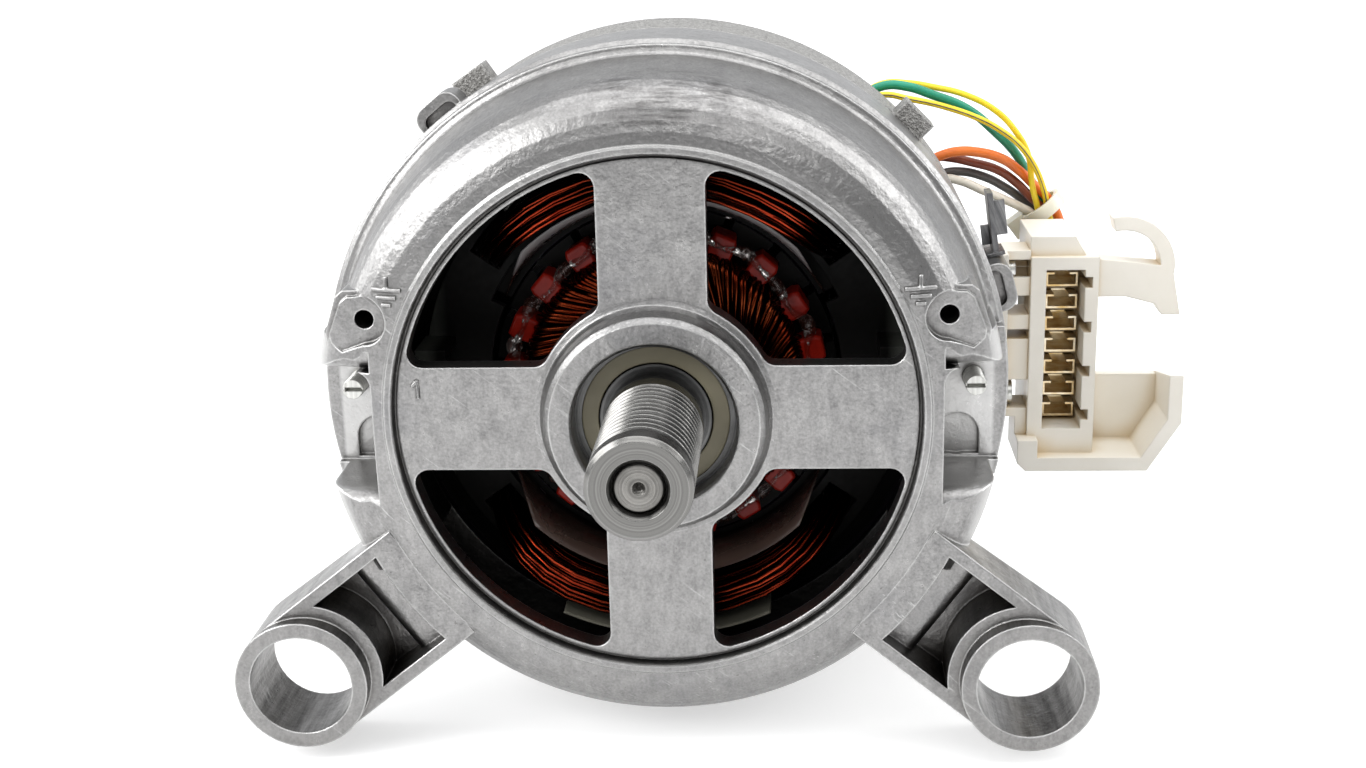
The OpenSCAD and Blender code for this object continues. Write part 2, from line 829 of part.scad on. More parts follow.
module motor_shaft() {
    shaft_r = shaft_d / 2;
    tail_r = tail_d / 2;
    core_r = core_d / 2;
    color([0.70, 0.70, 0.70]) turned() polygon([
        [0, 2.2],
        [1.2, 0.9],
        [spigot_d / 2 - 0.5, 0.9],
        [spigot_d / 2, 1.4],
        [spigot_d / 2, pulley_len],
        [shaft_r - 0.4, pulley_len],
        [shaft_r, pulley_len + 0.4],
        [shaft_r, front_bearing_y + front_bearing_w + 1],
        [core_r, front_bearing_y + front_bearing_w + 1],
        [core_r, riser_y],
        [tail_r + 1.2, riser_y],
        [tail_r + 1.2, rear_bearing_y],
        [tail_r, rear_bearing_y],
        [tail_r, rear_bearing_y + rear_bearing_w],
        [magnet_seat_d / 2, rear_bearing_y + rear_bearing_w],
        [magnet_seat_d / 2, magnet_y + magnet_len],
        [0, magnet_y + magnet_len]
    ]);
}

module drive_pulley() {
    r = pulley_d / 2;
    ribs_y = 4;
    color([0.62, 0.62, 0.63]) turned() polygon(concat(
        [
            [spigot_d / 2 + seat_fit, pulley_len],
            [spigot_d / 2 + seat_fit, 1.2],
            [spigot_d / 2 + 0.9, 0],
            [r - 0.8, 0],
            [r, 0.8]
        ],
        [
            for (i = [0:rib_count - 1], k = [0, 1, 2])
                let (y = ribs_y + i * rib_pitch)
                k == 0 ? [r, y]
                : k == 1 ? [r - rib_depth, y + rib_pitch * 0.5]
                : [r, y + rib_pitch * 0.9]
        ],
        [[r, pulley_len]]
    ));
}

module rotor_slot() {
    polygon([
        [20, -1], [wedge_r + wedge_t + 0.4, -2.6], [wedge_r + wedge_t + 1, -1],
        [rotor_r + 1, -1], [rotor_r + 1, 1],
        [wedge_r + wedge_t + 1, 1], [wedge_r + wedge_t + 0.4, 2.6], [20, 1]
    ]);
}

module rotor_core() {
    color([0.30, 0.30, 0.32]) plate(stack_y, stack_end_y) difference() {
        circle(r = rotor_r, $fn = 96);
        circle(d = core_d + 2 * seat_fit);
        for (k = [0:slot_count - 1]) rotate(slot_turn + k * slot_step) rotor_slot();
    }
}

// One end of a loop: radius, step from slot to slot, distance out from the iron.
fan_stations = [
    [strand_r, 0, fan_out - 6],
    [strand_r - 1, 0, fan_out - 1.4],
    [strand_r - 4, 0, fan_out],
    [fan_inner_r, 0, fan_out],
    [fan_inner_r - 1.7, 0.28, fan_out],
    [fan_inner_r - 1.7, 0.72, fan_out],
    [fan_inner_r, 1, fan_out],
    [strand_r - 4, 1, fan_out],
    [strand_r - 1, 1, fan_out - 1.4],
    [strand_r, 1, fan_out - 6]
];

// The strand runs out of each slot, down the end face, round a hairpin and into the next slot.
function fan_point(slot, station, front) =
    let (
        inward = max(0, strand_r - station[0]) / (strand_r - fan_inner_r),
        angle = slot_turn + (slot + station[1]) * slot_step + fan_twist * inward,
        y = front ? stack_y - station[2] : stack_end_y + station[2]
    )
    [station[0] * cos(angle), y, station[0] * sin(angle)];

first_slot = polar(strand_r, slot_turn);
rotor_path = concat(
    [[first_slot.x, stack_mid_y - rotor_strand, first_slot.y]],
    [
        for (slot = [0:slot_count - 1], station = fan_stations)
            fan_point(slot, station, slot % 2 == 0)
    ],
    [[first_slot.x, stack_mid_y + rotor_strand, first_slot.y]]
);
echo(rotor_winding_least_gap = least_gap(rotor_path, rotor_strand, 3));

module rotor_winding() {
    color([0.66, 0.28, 0.12]) strand(rotor_path, rotor_strand, 6);
}

// Plain inner layers of the rotor winding under its outer layer
module winding_core() {
    out_r = strand_r - rotor_strand / 2 - running_gap;
    depth = fan_out - rotor_strand / 2 - running_gap;
    profile = [
        [core_d / 2 + seat_fit, 0], [core_d / 2 + seat_fit, depth],
        [out_r - 3.6, depth], [out_r - 1, depth - 1.6], [out_r, depth - 4], [out_r, 0]
    ];
    color([0.45, 0.17, 0.10]) {
        turned() polygon([for (p = profile) [p.x, stack_y - p.y]]);
        turned() polygon([for (p = profile) [p.x, stack_end_y + p.y]]);
    }
}

module slot_wedges() {
    color([0.45, 0.08, 0.06])
        for (k = [0:slot_count - 1])
            at_angle(slot_turn + k * slot_step)
                block(
                    [wedge_r, stack_y - wedge_out, -2.1],
                    [wedge_r + wedge_t, stack_end_y + wedge_out, 2.1]
                );
}

module commutator_bars() {
    r = commutator_d / 2;
    color([0.72, 0.42, 0.22]) difference() {
        turned() polygon([
            [r - 4.2, riser_y], [r + 1.4, riser_y], [r + 1.4, commutator_y],
            [r, commutator_y], [r, commutator_end_y - 0.5], [r - 0.5, commutator_end_y],
            [r - 4.2, commutator_end_y]
        ]);
        for (k = [0:slot_count - 1])
            at_angle((k + 0.5) * slot_step)
                block([0, riser_y - 1, -0.3], [r + 3, commutator_end_y + 1, 0.3]);
    }
}

module commutator_hub() {
    color([0.16, 0.13, 0.11])
        ring(tail_d / 2 + 1.2 + seat_fit, commutator_d / 2 - 4.2, riser_y, commutator_end_y);
}

// Ball bearings, each drawn from its front face

function land_r(bore, outer, share) = bore / 2 + (outer - bore) / 2 * share;
function ball_r(bore, outer) = (outer - bore) * 0.15;
function pitch_r(bore, outer) = (outer + bore) / 4;

module outer_ring(bore, outer, w, y) {
    difference() {
        ring(land_r(bore, outer, 0.66), outer / 2, y, y + w);
        turned() translate([pitch_r(bore, outer), y + w / 2]) circle(r = ball_r(bore, outer) + ball_gap);
    }
}

module inner_ring(bore, outer, w, y) {
    difference() {
        ring(bore / 2 + seat_fit, land_r(bore, outer, 0.32), y, y + w);
        turned() translate([pitch_r(bore, outer), y + w / 2]) circle(r = ball_r(bore, outer) + ball_gap);
    }
}

module ball_set(bore, outer, w, y) {
    p = pitch_r(bore, outer);
    for (k = [0:ball_count - 1])
        at_angle(k * 360 / ball_count) translate([p, y + w / 2, 0]) sphere(r = ball_r(bore, outer));
    ring(p - 0.8, p + 0.8, y + w / 2 - 1.4, y + w / 2 + 1.4);
}

module seals(bore, outer, w, y) {
    r_in = land_r(bore, outer, 0.32) + 0.25;
    r_out = land_r(bore, outer, 0.66) - seat_fit;
    ring(r_in, r_out, y + 0.3, y + 1.1);
    ring(r_in, r_out, y + w - 1.1, y + w - 0.3);
}

module front_bearing_outer_ring() {
    color([0.60, 0.60, 0.60]) outer_ring(shaft_d, front_bearing_d, front_bearing_w, front_bearing_y);
}

module front_bearing_inner_ring() {
    color([0.68, 0.68, 0.68]) inner_ring(shaft_d, front_bearing_d, front_bearing_w, front_bearing_y);
}

module front_ball_set() {
    color([0.78, 0.78, 0.80]) ball_set(shaft_d, front_bearing_d, front_bearing_w, front_bearing_y);
}

module front_bearing_seals() {
    color([0.52, 0.48, 0.38]) seals(shaft_d, front_bearing_d, front_bearing_w, front_bearing_y);
}

module rear_bearing_outer_ring() {
    color([0.60, 0.60, 0.60]) outer_ring(tail_d, rear_bearing_d, rear_bearing_w, rear_bearing_y);
}

module rear_bearing_inner_ring() {
    color([0.68, 0.68, 0.68]) inner_ring(tail_d, rear_bearing_d, rear_bearing_w, rear_bearing_y);
}

module rear_ball_set() {
    color([0.78, 0.78, 0.80]) ball_set(tail_d, rear_bearing_d, rear_bearing_w, rear_bearing_y);
}

module rear_bearing_seals() {
    color([0.52, 0.48, 0.38]) seals(tail_d, rear_bearing_d, rear_bearing_w, rear_bearing_y);
}

module wave_spring() {
    y = rear_bearing_y + rear_bearing_w;
    r = rear_bearing_d / 2 - 0.4;
    crest = (rear_seat_end_y - y) / 2;
    color([0.55, 0.56, 0.58]) difference() {
        ring(r - 2.4, r, y, y + 2 * crest);
        for (k = [0:5])
            at_angle(k * 60) block([r - 4, y - 1, -4], [r + 2, y + crest * 0.7, 4]);
        for (k = [0:5])
            at_angle(k * 60 + 30) block([r - 4, y + crest * 1.3, -4], [r + 2, y + 2 * crest + 1, 4]);
    }
}

// Brush gear, drawn for the right side

module brush_holder() {
    color([0.09, 0.09, 0.09]) difference() {
        union() {
            block(
                [holder_in_x, brush_y - holder_w / 2, -holder_t / 2],
                [pad_x + plate_t, brush_y + holder_w / 2, holder_t / 2]
            );
            block(
                [pad_x, brush_y - plate_w / 2, -plate_h / 2],
                [pad_x + plate_t, brush_y + plate_w / 2, plate_h / 2]
            );
            // Oval closed end with the terminal's place under it
            for (z = [-8, 0])
                translate([pad_x, brush_y, z]) rotate([0, 90, 0]) cylinder(r = 6, h = tail_x - pad_x);
            block([pad_x, brush_y - 6, -8], [tail_x, brush_y + 6, 0]);
        }
        block(
            [holder_in_x - 1, brush_y - channel_w / 2, -channel_t / 2],
            [spring_end_x, brush_y + channel_w / 2, channel_t / 2]
        );
        for (s = [-1, 1])
            translate(holder_screw_at(s)) rotate([0, 90, 0]) cylinder(d = 3.3, h = 20, center = true);
    }
}

module left_brush_holder() {
    mirror([1, 0, 0]) brush_holder();
}

module right_brush_holder() {
    brush_holder();
}

module carbon_brush() {
    color([0.14, 0.14, 0.15]) difference() {
        block(
            [commutator_d / 2 - 2, brush_y - brush_w / 2, -brush_t / 2],
            [spring_x, brush_y + brush_w / 2, brush_t / 2]
        );
        rod(brush_x, brush_y - brush_w, brush_y + brush_w);
    }
}

module left_carbon_brush() {
    mirror([1, 0, 0]) carbon_brush();
}

module right_carbon_brush() {
    carbon_brush();
}

module brush_spring() {
    wire = 0.5;
    coil_r = channel_t / 2 - wire - 0.2;
    curls = 7;
    rings = 8;
    length = spring_end_x - spring_x;
    path = [
        for (i = [0:curls * rings])
            let (a = 360 * i / rings)
            [
                spring_x + wire + (length - 2 * wire) * i / (curls * rings),
                brush_y + coil_r * cos(a),
                coil_r * sin(a)
            ]
    ];
    color([0.62, 0.62, 0.64]) strand(path, wire, 5);
}

module left_brush_spring() {
    mirror([1, 0, 0]) brush_spring();
}

module right_brush_spring() {
    brush_spring();
}

// A screw along X, its head's seat at the origin.
module side_screw(d, head_d, head_h, length) {
    rotate([0, 90, 0]) difference() {
        union() {
            cylinder(d = head_d, h = head_h);
            translate([0, 0, -length]) cylinder(d = d, h = length + 0.01);
        }
        translate([-head_d, -0.4, head_h * 0.5]) cube([2 * head_d, 0.8, head_h]);
    }
}

module brush_holder_screws() {
    color([0.75, 0.75, 0.72]) both_sides()
        for (s = [-1, 1])
            translate(holder_screw_at(s) + [plate_t, 0, 0]) side_screw(3, 5.6, 2, 8);
}

module clamp_screws() {
    color([0.78, 0.78, 0.75]) both_sides() translate([clamp_x, 0, clamp_z]) difference() {
        union() {
            rod(clamp_d / 2, clamp_tip_y, rim_end_y);
            translate([0, rim_end_y, 0]) rotate([-90, 0, 0])
                cylinder(r = clamp_d * 0.9, h = clamp_d, $fn = 6);
        }
        block([-clamp_d, clamp_tip_y - 1, -0.4], [clamp_d, clamp_tip_y + 2.5, 0.4]);
    }
}

// Speed sensor

module tacho_magnet() {
    color([0.20, 0.20, 0.22]) ring(magnet_seat_d / 2 + seat_fit, magnet_r, magnet_y, magnet_y + magnet_len);
}

module tacho_coil() {
    r_in = magnet_r + 1;
    r_out = cap_r - cap_wall - 0.3;
    color([0.15, 0.15, 0.15]) difference() {
        ring(r_in, r_out, rear_hub_y, rear_hub_y + 9);
        ring(r_in + 1.5, r_out + 1, rear_hub_y + 1.5, rear_hub_y + 7.5);
    }
    color([0.55, 0.22, 0.10]) ring(r_in + 1.5, r_out - 0.8, rear_hub_y + 1.5, rear_hub_y + 7.5);
}

module tacho_cap() {
    color([0.10, 0.10, 0.10]) turned() polygon([
        [cap_r - cap_wall, rear_hub_y], [cap_r, rear_hub_y],
        [cap_r, rear_hub_y + cap_len - 2], [cap_r - 2, rear_hub_y + cap_len], [0, rear_hub_y + cap_len],
        [0, rear_hub_y + cap_len - cap_wall], [cap_r - cap_wall, rear_hub_y + cap_len - cap_wall]
    ]);
}

// Connector

module lead_grommets() {
    wall_r = bell_r + 0.15;
    color([0.10, 0.10, 0.10])
        for (a = exit_angles)
            exit_place(a) {
                translate([0, 0, bell_in_r - 1]) cylinder(r = exit_shank_r, h = wall_r - bell_in_r + 1.1);
                translate([0, 0, wall_r]) cylinder(r = exit_flange_r, h = exit_face_r - wall_r);
            }
}

contact_z = [for (i = [0:contact_count - 1]) contact_top - i * contact_pitch];
housing_right = housing_x + housing_w;
cavity_left = contact_x - contact_w / 2 - 0.9;
cavity_right = contact_x + contact_w / 2 + 0.5;
cavity_bottom = contact_z[contact_count - 1] - 2.4;
arm_top = housing_top - 0.6;
hook_at = [housing_x + 19.9, housing_top - 2.4];
hook_r = 11;
hook_t = 3;
post_h = 12.5;
cap_h = 4.2;

module connector_tray() {
    // Open tray under the contacts, with a slanted right wall and an end wall behind
    tray_depth = cavity_y - tray_y + 1.5;
    outline = [
        [housing_x - 0.6, tray_floor], [tray_right - 7, tray_floor], [tray_right, tray_floor + 11],
        [tray_right, tray_top], [tray_right - tray_wall, tray_top],
        [tray_right - tray_wall, tray_floor + 11.8], [tray_right - 8.4, tray_floor + tray_wall],
        [housing_x + 2, tray_floor + tray_wall], [housing_x + 2, tray_floor + 7],
        [housing_x - 2.4, tray_floor + 7], [housing_x - 2.4, tray_floor + 1.8]
    ];
    plate(tray_y, tray_y + tray_depth) polygon(outline);
    plate(tray_y + tray_depth - 2.5, tray_y + tray_depth) polygon([
        [housing_right - 1, tray_floor + 1], [tray_right - 8, tray_floor + 1],
        [tray_right - 1, tray_floor + 11], [tray_right - 1, tray_top], [housing_right - 1, tray_top]
    ]);
    // The right wall rises towards the front
    translate([tray_right - tray_wall, 0, 0]) rotate([90, 0, 90]) linear_extrude(tray_wall) polygon([
        [tray_y, tray_top - 1], [tray_y + tray_depth, tray_top - 1], [tray_y + tray_depth, tray_top],
        [tray_y, tray_top + 3.8]
    ]);
}

module connector_latch() {
    arm_y = housing_y + 1;
    plate(arm_y, arm_y + 6) polygon([
        [housing_right - 1, arm_top], [hook_at.x + hook_r - 0.5, arm_top - 1.8],
        [hook_at.x + hook_r + 1.5, arm_top - post_h], [hook_at.x + hook_r - 2.5, arm_top - post_h],
        [hook_at.x + hook_r - 4, arm_top - post_h + 2.4], [housing_right + 6, arm_top - 8.4],
        [housing_right - 1, arm_top - 8.4]
    ]);
    plate(arm_y, arm_y + 6) translate(hook_at)
        polygon(sector(hook_r - hook_t, hook_r, -8, 104));
}

module connector_housing() {
    color([0.93, 0.91, 0.86]) difference() {
        union() {
            block([housing_x, housing_y, tray_floor + 1], [housing_right, housing_back_y, housing_top]);
            connector_tray();
            connector_latch();
            plate(housing_y + 2, housing_back_y) polygon([
                [housing_x, housing_top - 1], [housing_x, housing_top + cap_h],
                [housing_right - 5, housing_top + cap_h], [housing_right - 2, housing_top - 1]
            ]);
        }
        block(
            [cavity_left, housing_y - 10, cavity_bottom],
            [cavity_right, cavity_y, housing_top - housing_wall]
        );
        for (z = [cavity_bottom + 2, cavity_bottom + 12, cavity_bottom + 22, cavity_bottom + 32])
            block([cavity_right - 1, housing_y - 1, z], [cavity_right + 1.6, cavity_y - 1, z + 2.4]);
        for (z = contact_z)
            block(
                [contact_x - contact_w / 2 - contact_fit, cavity_y - 1, z - contact_h / 2 - contact_fit],
                [contact_x + contact_w / 2 + contact_fit, housing_back_y - 2, z + contact_h / 2 + contact_fit]
            );
    }
}

module connector_contacts() {
    sheet = 0.5;
    color([0.72, 0.60, 0.34])
        for (z = contact_z)
            difference() {
                block(
                    [contact_x - contact_w / 2, contact_y, z - contact_h / 2],
                    [contact_x + contact_w / 2, housing_back_y - 2, z + contact_h / 2]
                );
                block(
                    [contact_x - contact_w / 2 + sheet, contact_y - 1, z - contact_h / 2 + sheet],
                    [contact_x + contact_w / 2 - sheet, contact_y + 9, z + contact_h / 2 - sheet]
                );
                block(
                    [contact_x - 1.6, contact_y - 1, z],
                    [contact_x + 1.6, contact_y + 6, z + contact_h]
                );
            }
}

module connector_bracket() {
    bracket_end = bracket_y + bracket_len;
    color([0.88, 0.85, 0.77]) difference() {
        union() {
            block(
                [bracket_face_x, bracket_y, bracket_bottom],
                [bracket_face_x + bracket_t, bracket_end, bracket_top]
            );
            for (bar = [[bracket_bottom, -17], [-10.5, -1.2], [1, 4.2], [8.6, 15.2], [16.6, bracket_top]])
                block([bracket_face_x, bracket_y + 4, bar[0]], [housing_x, bracket_end, bar[1]]);
            block([housing_x - 2.6, bracket_y + 4, tray_floor + 7], [housing_x, bracket_end, -17]);
        }
        for (s = [-1, 1])
            translate([bracket_face_x, bracket_y + bracket_len / 2, s * bracket_screw_z]) rotate([0, 90, 0]) {
                cylinder(d = 3.3, h = 20, center = true);
                translate([0, 0, bracket_t]) cylinder(d = 6.4, h = 20);
            }
    }
}

module bracket_screws() {
    color([0.75, 0.75, 0.72])
        for (s = [-1, 1])
            translate([bracket_face_x + bracket_t, bracket_y + bracket_len / 2, s * bracket_screw_z])
                side_screw(3, 5.6, 2, 8);
}

// Leads from the grommets, through the tie and into the back of the housing. The routes are drawn for one
// place of the grommets and of the housing, and follow both when these move.
route_exit = [56.5, 122];
route_housing = [77.7, 122.7];
route_bend_x = 57;
route_tie_x = 80;

function follow(route, a) =
    let (
        out = exit_face_r - route_exit[0],
        near = [out * cos(a), exit_y - route_exit[1], out * sin(a)],
        far = [housing_x - route_housing[0], housing_back_y - route_housing[1], 0]
    )
    [
        for (p = route)
            let (w = max(0, min(1, (p.x - route_bend_x) / (route_tie_x - route_bend_x))))
            p + (1 - w) * near + w * far
    ];

green_route = follow([
    [36.4, 122, 43.4], [38.9, 122, 46.4], [42, 122, 49.8], [46.5, 122, 52.2], [51.5, 122, 52],
    [57.5, 122, 50], [65, 122.4, 46.8], [72, 124, 41], [77, 127, 35.5], [80.5, 130.6, 29.6],
    [84.4, 131.6, 23.3], [86.4, 132.3, 17], [87, 132.4, 6], [87, 132.4, -9], [87, 131, -12.6],
    [87, 128.6, -14.2], [87, 122.7, -14.2]
], exit_angles[0]);
yellow_a_route = follow([
    [36.4, 125, 43.4], [38.9, 125, 46.4], [42.2, 125, 50], [46.5, 125, 52.4], [52, 125, 52.4],
    [58, 124.7, 51.4], [65, 124.3, 49.6], [72, 124, 45.8], [76.3, 124, 41.3], [79.3, 124.6, 36],
    [80.6, 125.4, 28.5], [82.4, 127.2, 21.8], [82.6, 127.3, 17.5], [82.6, 127, 14], [82.6, 125.6, 11.6],
    [82.6, 124.3, 10.8], [82.6, 122.7, 10.8]
], exit_angles[0]);
yellow_b_route = follow([
    [36.4, 119, 43.4], [38.9, 119, 46.4], [42.2, 119, 49.4], [46.5, 119, 50.6], [52, 119, 49.6],
    [59, 119, 48], [68.5, 119.3, 44.5], [73, 120, 41.8], [76.5, 121, 39], [80, 122.5, 34.5],
    [82.9, 124.8, 28.5], [84.4, 127.2, 23.3], [85.6, 127.3, 18], [86.2, 127.3, 12], [86.2, 126.9, 8.8],
    [86.2, 125.5, 6.5], [86.2, 124.3, 5.8], [86.2, 122.7, 5.8]
], exit_angles[0]);
orange_route = follow([
    [47.9, 119.5, 30.2], [51.3, 119.5, 32.2], [55.5, 119.5, 34.8], [59.5, 119.5, 36.8], [63, 119.6, 37.6],
    [67, 120, 37.4], [72.5, 121.5, 35.8], [77.2, 125.4, 32.4], [80.8, 128.4, 28.8], [85.4, 129.4, 24.1],
    [88, 129.9, 18.5], [89.5, 130, 12], [89.6, 130, 0], [89.6, 128.9, -2.8], [89.6, 126.8, -4.2],
    [89.6, 122.7, -4.2]
], exit_angles[1]);
brown_route = follow([
    [47.9, 124.5, 30.2], [51.3, 124.5, 32.2], [55.5, 124.5, 34.4], [59, 124.5, 35.6], [62, 124.5, 35.4],
    [67, 124.8, 34.2], [72.5, 125.6, 32.4], [77, 127.5, 29.2], [80.5, 128.9, 25.6], [83.4, 129.4, 22.6],
    [85, 129.7, 17], [84.6, 129.7, 8], [84.4, 129.2, 3.6], [84.4, 127.4, 1.3], [84.4, 125.4, 0.8],
    [84.4, 122.7, 0.8]
], exit_angles[1]);
grey_route = follow([
    [50.1, 124.5, 26.4], [53.5, 124.5, 28.4], [57, 124.5, 30.4], [60.2, 124.5, 31.9], [64, 125, 32.2],
    [69.5, 126, 30.8], [74.5, 128, 28], [79, 130.8, 24.6], [82.4, 131.6, 21.8], [82.2, 132.3, 16],
    [82.2, 132.4, 4], [82.2, 132.4, -14], [82.2, 131, -17.6], [82.2, 128.6, -19.2], [82.2, 122.7, -19.2]
], exit_angles[1]);
white_route = follow([
    [50.1, 119.5, 26.4], [53.5, 119.5, 28.4], [57, 119.5, 30.3], [60.1, 119.5, 31.5], [63.5, 119.8, 31],
    [69, 121.5, 28.4], [74.5, 125, 25.5], [78.4, 128, 23.2], [81.4, 129.4, 21.1], [82, 129.4, 19.5],
    [82.4, 129.6, 17], [81.2, 129.8, 12.5], [80.2, 129.9, 6], [80.2, 129.9, -5], [80.2, 128.8, -8],
    [80.2, 126.8, -9.2], [80.2, 122.7, -9.2]
], exit_angles[1]);

module green_lead() {
    color([0.02, 0.45, 0.33]) strand(green_route, 2.1, 8);
}

module yellow_lead_a() {
    color([0.92, 0.75, 0.05]) strand(yellow_a_route, 1.4, 8);
}

module yellow_lead_b() {
    color([0.92, 0.75, 0.05]) strand(yellow_b_route, 1.4, 8);
}

module orange_lead() {
    color([0.88, 0.28, 0.05]) strand(orange_route, 2.2, 8);
}

module brown_lead() {
    color([0.36, 0.12, 0.06]) strand(brown_route, 2, 8);
}

module grey_lead() {
    color([0.22, 0.21, 0.21]) strand(grey_route, 2, 8);
}

module white_lead() {
    color([0.90, 0.87, 0.80]) strand(white_route, 2, 8);
}

module cable_tie() {
    color([0.88, 0.86, 0.80]) translate(tie_at) rotate([0, tie_tilt, 0]) {
        difference() {
            cylinder(r = tie_in_r + tie_t, h = tie_w, center = true);
            cylinder(r = tie_in_r, h = tie_w + 1, center = true);
        }
        translate([-tie_in_r - 4.2, -2.4, -2.2]) cube([4.2, 4.8, 4.4]);
    }
}

// Steel tab clamped on the right ear
module earth_tab() {
    foot_t = 0.8;
    blade_h = 13;
    color([0.45, 0.45, 0.44]) at_angle(right_ear_angle) translate([flange_r + 2.1, ear_y + 6, ear_half]) {
        block([-1.8, 0, 0], [1.8, 7, foot_t]);
        rotate([0, 7, 0]) {
            block([-0.6, 0.6, 0.3], [0.6, 6.4, blade_h]);
            block([-2.2, 5.4, 1.5], [0, 6.2, 5.6]);
            block([0, 5.4, 3.2], [3.2, 6.2, blade_h - 2.6]);
        }
    }
}

front_shield();
rear_shield();
stator_core();
upper_field_coil();
lower_field_coil();
front_coil_frame();
rear_coil_frame();
insulating_sleeve();
motor_shaft();
drive_pulley();
rotor_core();
rotor_winding();
winding_core();
slot_wedges();
commutator_bars();
commutator_hub();
front_bearing_outer_ring();
front_bearing_inner_ring();
front_ball_set();
front_bearing_seals();
rear_bearing_outer_ring();
rear_bearing_inner_ring();
rear_ball_set();
rear_bearing_seals();
wave_spring();
left_brush_holder();
right_brush_holder();
left_carbon_brush();
right_carbon_brush();
left_brush_spring();
right_brush_spring();
brush_holder_screws();
clamp_screws();
tacho_magnet();
tacho_coil();
tacho_cap();
lead_grommets();
connector_housing();
connector_contacts();
connector_bracket();
bracket_screws();
green_lead();
yellow_lead_a();
yellow_lead_b();
orange_lead();
brown_lead();
grey_lead();
white_lead();
cable_tie();
earth_tab();
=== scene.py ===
"""Looks of a brushed washing machine motor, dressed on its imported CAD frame.

Numbers times MM are millimetres, and other lengths are metres. The shaft lies along Y, with the pulley at its low end.
"""

import json
import math
import random

import bmesh
import bpy
from mathutils import Matrix, Vector


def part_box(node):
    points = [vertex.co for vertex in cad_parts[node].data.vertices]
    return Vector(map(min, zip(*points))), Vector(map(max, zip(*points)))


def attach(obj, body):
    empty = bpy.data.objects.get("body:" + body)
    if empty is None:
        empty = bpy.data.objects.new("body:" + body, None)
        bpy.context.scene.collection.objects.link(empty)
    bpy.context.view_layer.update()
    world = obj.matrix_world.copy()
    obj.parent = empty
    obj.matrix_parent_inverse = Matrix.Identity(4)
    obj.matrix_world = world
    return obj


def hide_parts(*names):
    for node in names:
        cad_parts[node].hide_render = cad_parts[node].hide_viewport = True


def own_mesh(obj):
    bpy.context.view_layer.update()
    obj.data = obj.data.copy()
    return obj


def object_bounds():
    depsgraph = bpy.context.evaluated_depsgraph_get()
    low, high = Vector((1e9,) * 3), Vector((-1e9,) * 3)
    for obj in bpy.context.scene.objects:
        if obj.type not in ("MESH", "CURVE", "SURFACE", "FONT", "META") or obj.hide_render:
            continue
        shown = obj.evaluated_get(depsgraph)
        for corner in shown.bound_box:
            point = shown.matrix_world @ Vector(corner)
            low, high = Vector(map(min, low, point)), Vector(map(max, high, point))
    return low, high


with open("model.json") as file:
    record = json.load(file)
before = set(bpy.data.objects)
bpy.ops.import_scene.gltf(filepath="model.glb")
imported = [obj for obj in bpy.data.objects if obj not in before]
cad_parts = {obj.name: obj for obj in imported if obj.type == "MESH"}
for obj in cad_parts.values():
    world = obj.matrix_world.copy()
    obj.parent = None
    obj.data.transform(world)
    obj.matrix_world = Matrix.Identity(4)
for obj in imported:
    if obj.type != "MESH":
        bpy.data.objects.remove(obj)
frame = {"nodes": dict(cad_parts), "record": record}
cad_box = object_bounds()

MM = 0.001
random.seed(11)

# Places that are read from the CAD solids
STACK_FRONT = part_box("stator_core")[0].y
STACK_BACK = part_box("stator_core")[1].y
STACK_MIDDLE = (STACK_FRONT + STACK_BACK) / 2
COIL_LOW, COIL_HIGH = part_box("upper_field_coil")
BED_LOW, BED_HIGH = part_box("winding_core")
FAN_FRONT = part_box("rotor_winding")[0].y
PULLEY_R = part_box("drive_pulley")[1].x
FLOOR_Z = cad_box[0][2]

# Both ends of the stack: the face, and the way out of it along the shaft
STACK_ENDS = ((STACK_FRONT, -1), (STACK_BACK, 1))


def link_object(name, data):
    made = bpy.data.objects.new(name, data)
    bpy.context.scene.collection.objects.link(made)
    return made


# Camera, worked out from the round edges in the photograph

IMAGE_WIDTH = 1366
FOCAL_PIXELS = 1790.8
SENSOR_WIDTH = 36.0
CAMERA_PLACE = Vector((26.7, -283.0, 101.1)) * MM
CAMERA_YAW = -0.066
CAMERA_PITCH = 0.283
CAMERA_ROLL = 0.025
CAMERA_NEAR = 0.01


def add_camera():
    level = math.cos(CAMERA_PITCH)
    forward = Vector((math.sin(CAMERA_YAW) * level, math.cos(CAMERA_YAW) * level, -math.sin(CAMERA_PITCH)))
    right = Vector((math.cos(CAMERA_YAW), -math.sin(CAMERA_YAW), 0))
    down = forward.cross(right)
    image_right = math.cos(CAMERA_ROLL) * right + math.sin(CAMERA_ROLL) * down
    image_down = math.cos(CAMERA_ROLL) * down - math.sin(CAMERA_ROLL) * right
    data = bpy.data.cameras.new("camera")
    data.sensor_fit = "HORIZONTAL"
    data.sensor_width = SENSOR_WIDTH
    data.lens = SENSOR_WIDTH * FOCAL_PIXELS / IMAGE_WIDTH
    data.clip_start = CAMERA_NEAR
    camera = link_object("camera", data)
    turn = Matrix((image_right, -image_down, -forward)).transposed()
    camera.matrix_world = Matrix.Translation(CAMERA_PLACE) @ turn.to_4x4()
    bpy.context.scene.camera = camera


# Node helpers


def put(tree, kind, inputs=None, **settings):
    """Adds a node with its inputs and settings."""
    node = tree.nodes.new(kind)
    for name, value in settings.items():
        setattr(node, name, value)
    for name, value in (inputs or {}).items():
        fill(node.inputs[name], value)
    return node


def fill(socket, value):
    """Links a socket to another or sets it; a colour is given as red, green and blue."""
    if isinstance(value, bpy.types.NodeSocket):
        socket.id_data.links.new(value, socket)
    elif socket.type == "RGBA":
        socket.default_value = (*value, 1.0)
    else:
        socket.default_value = value


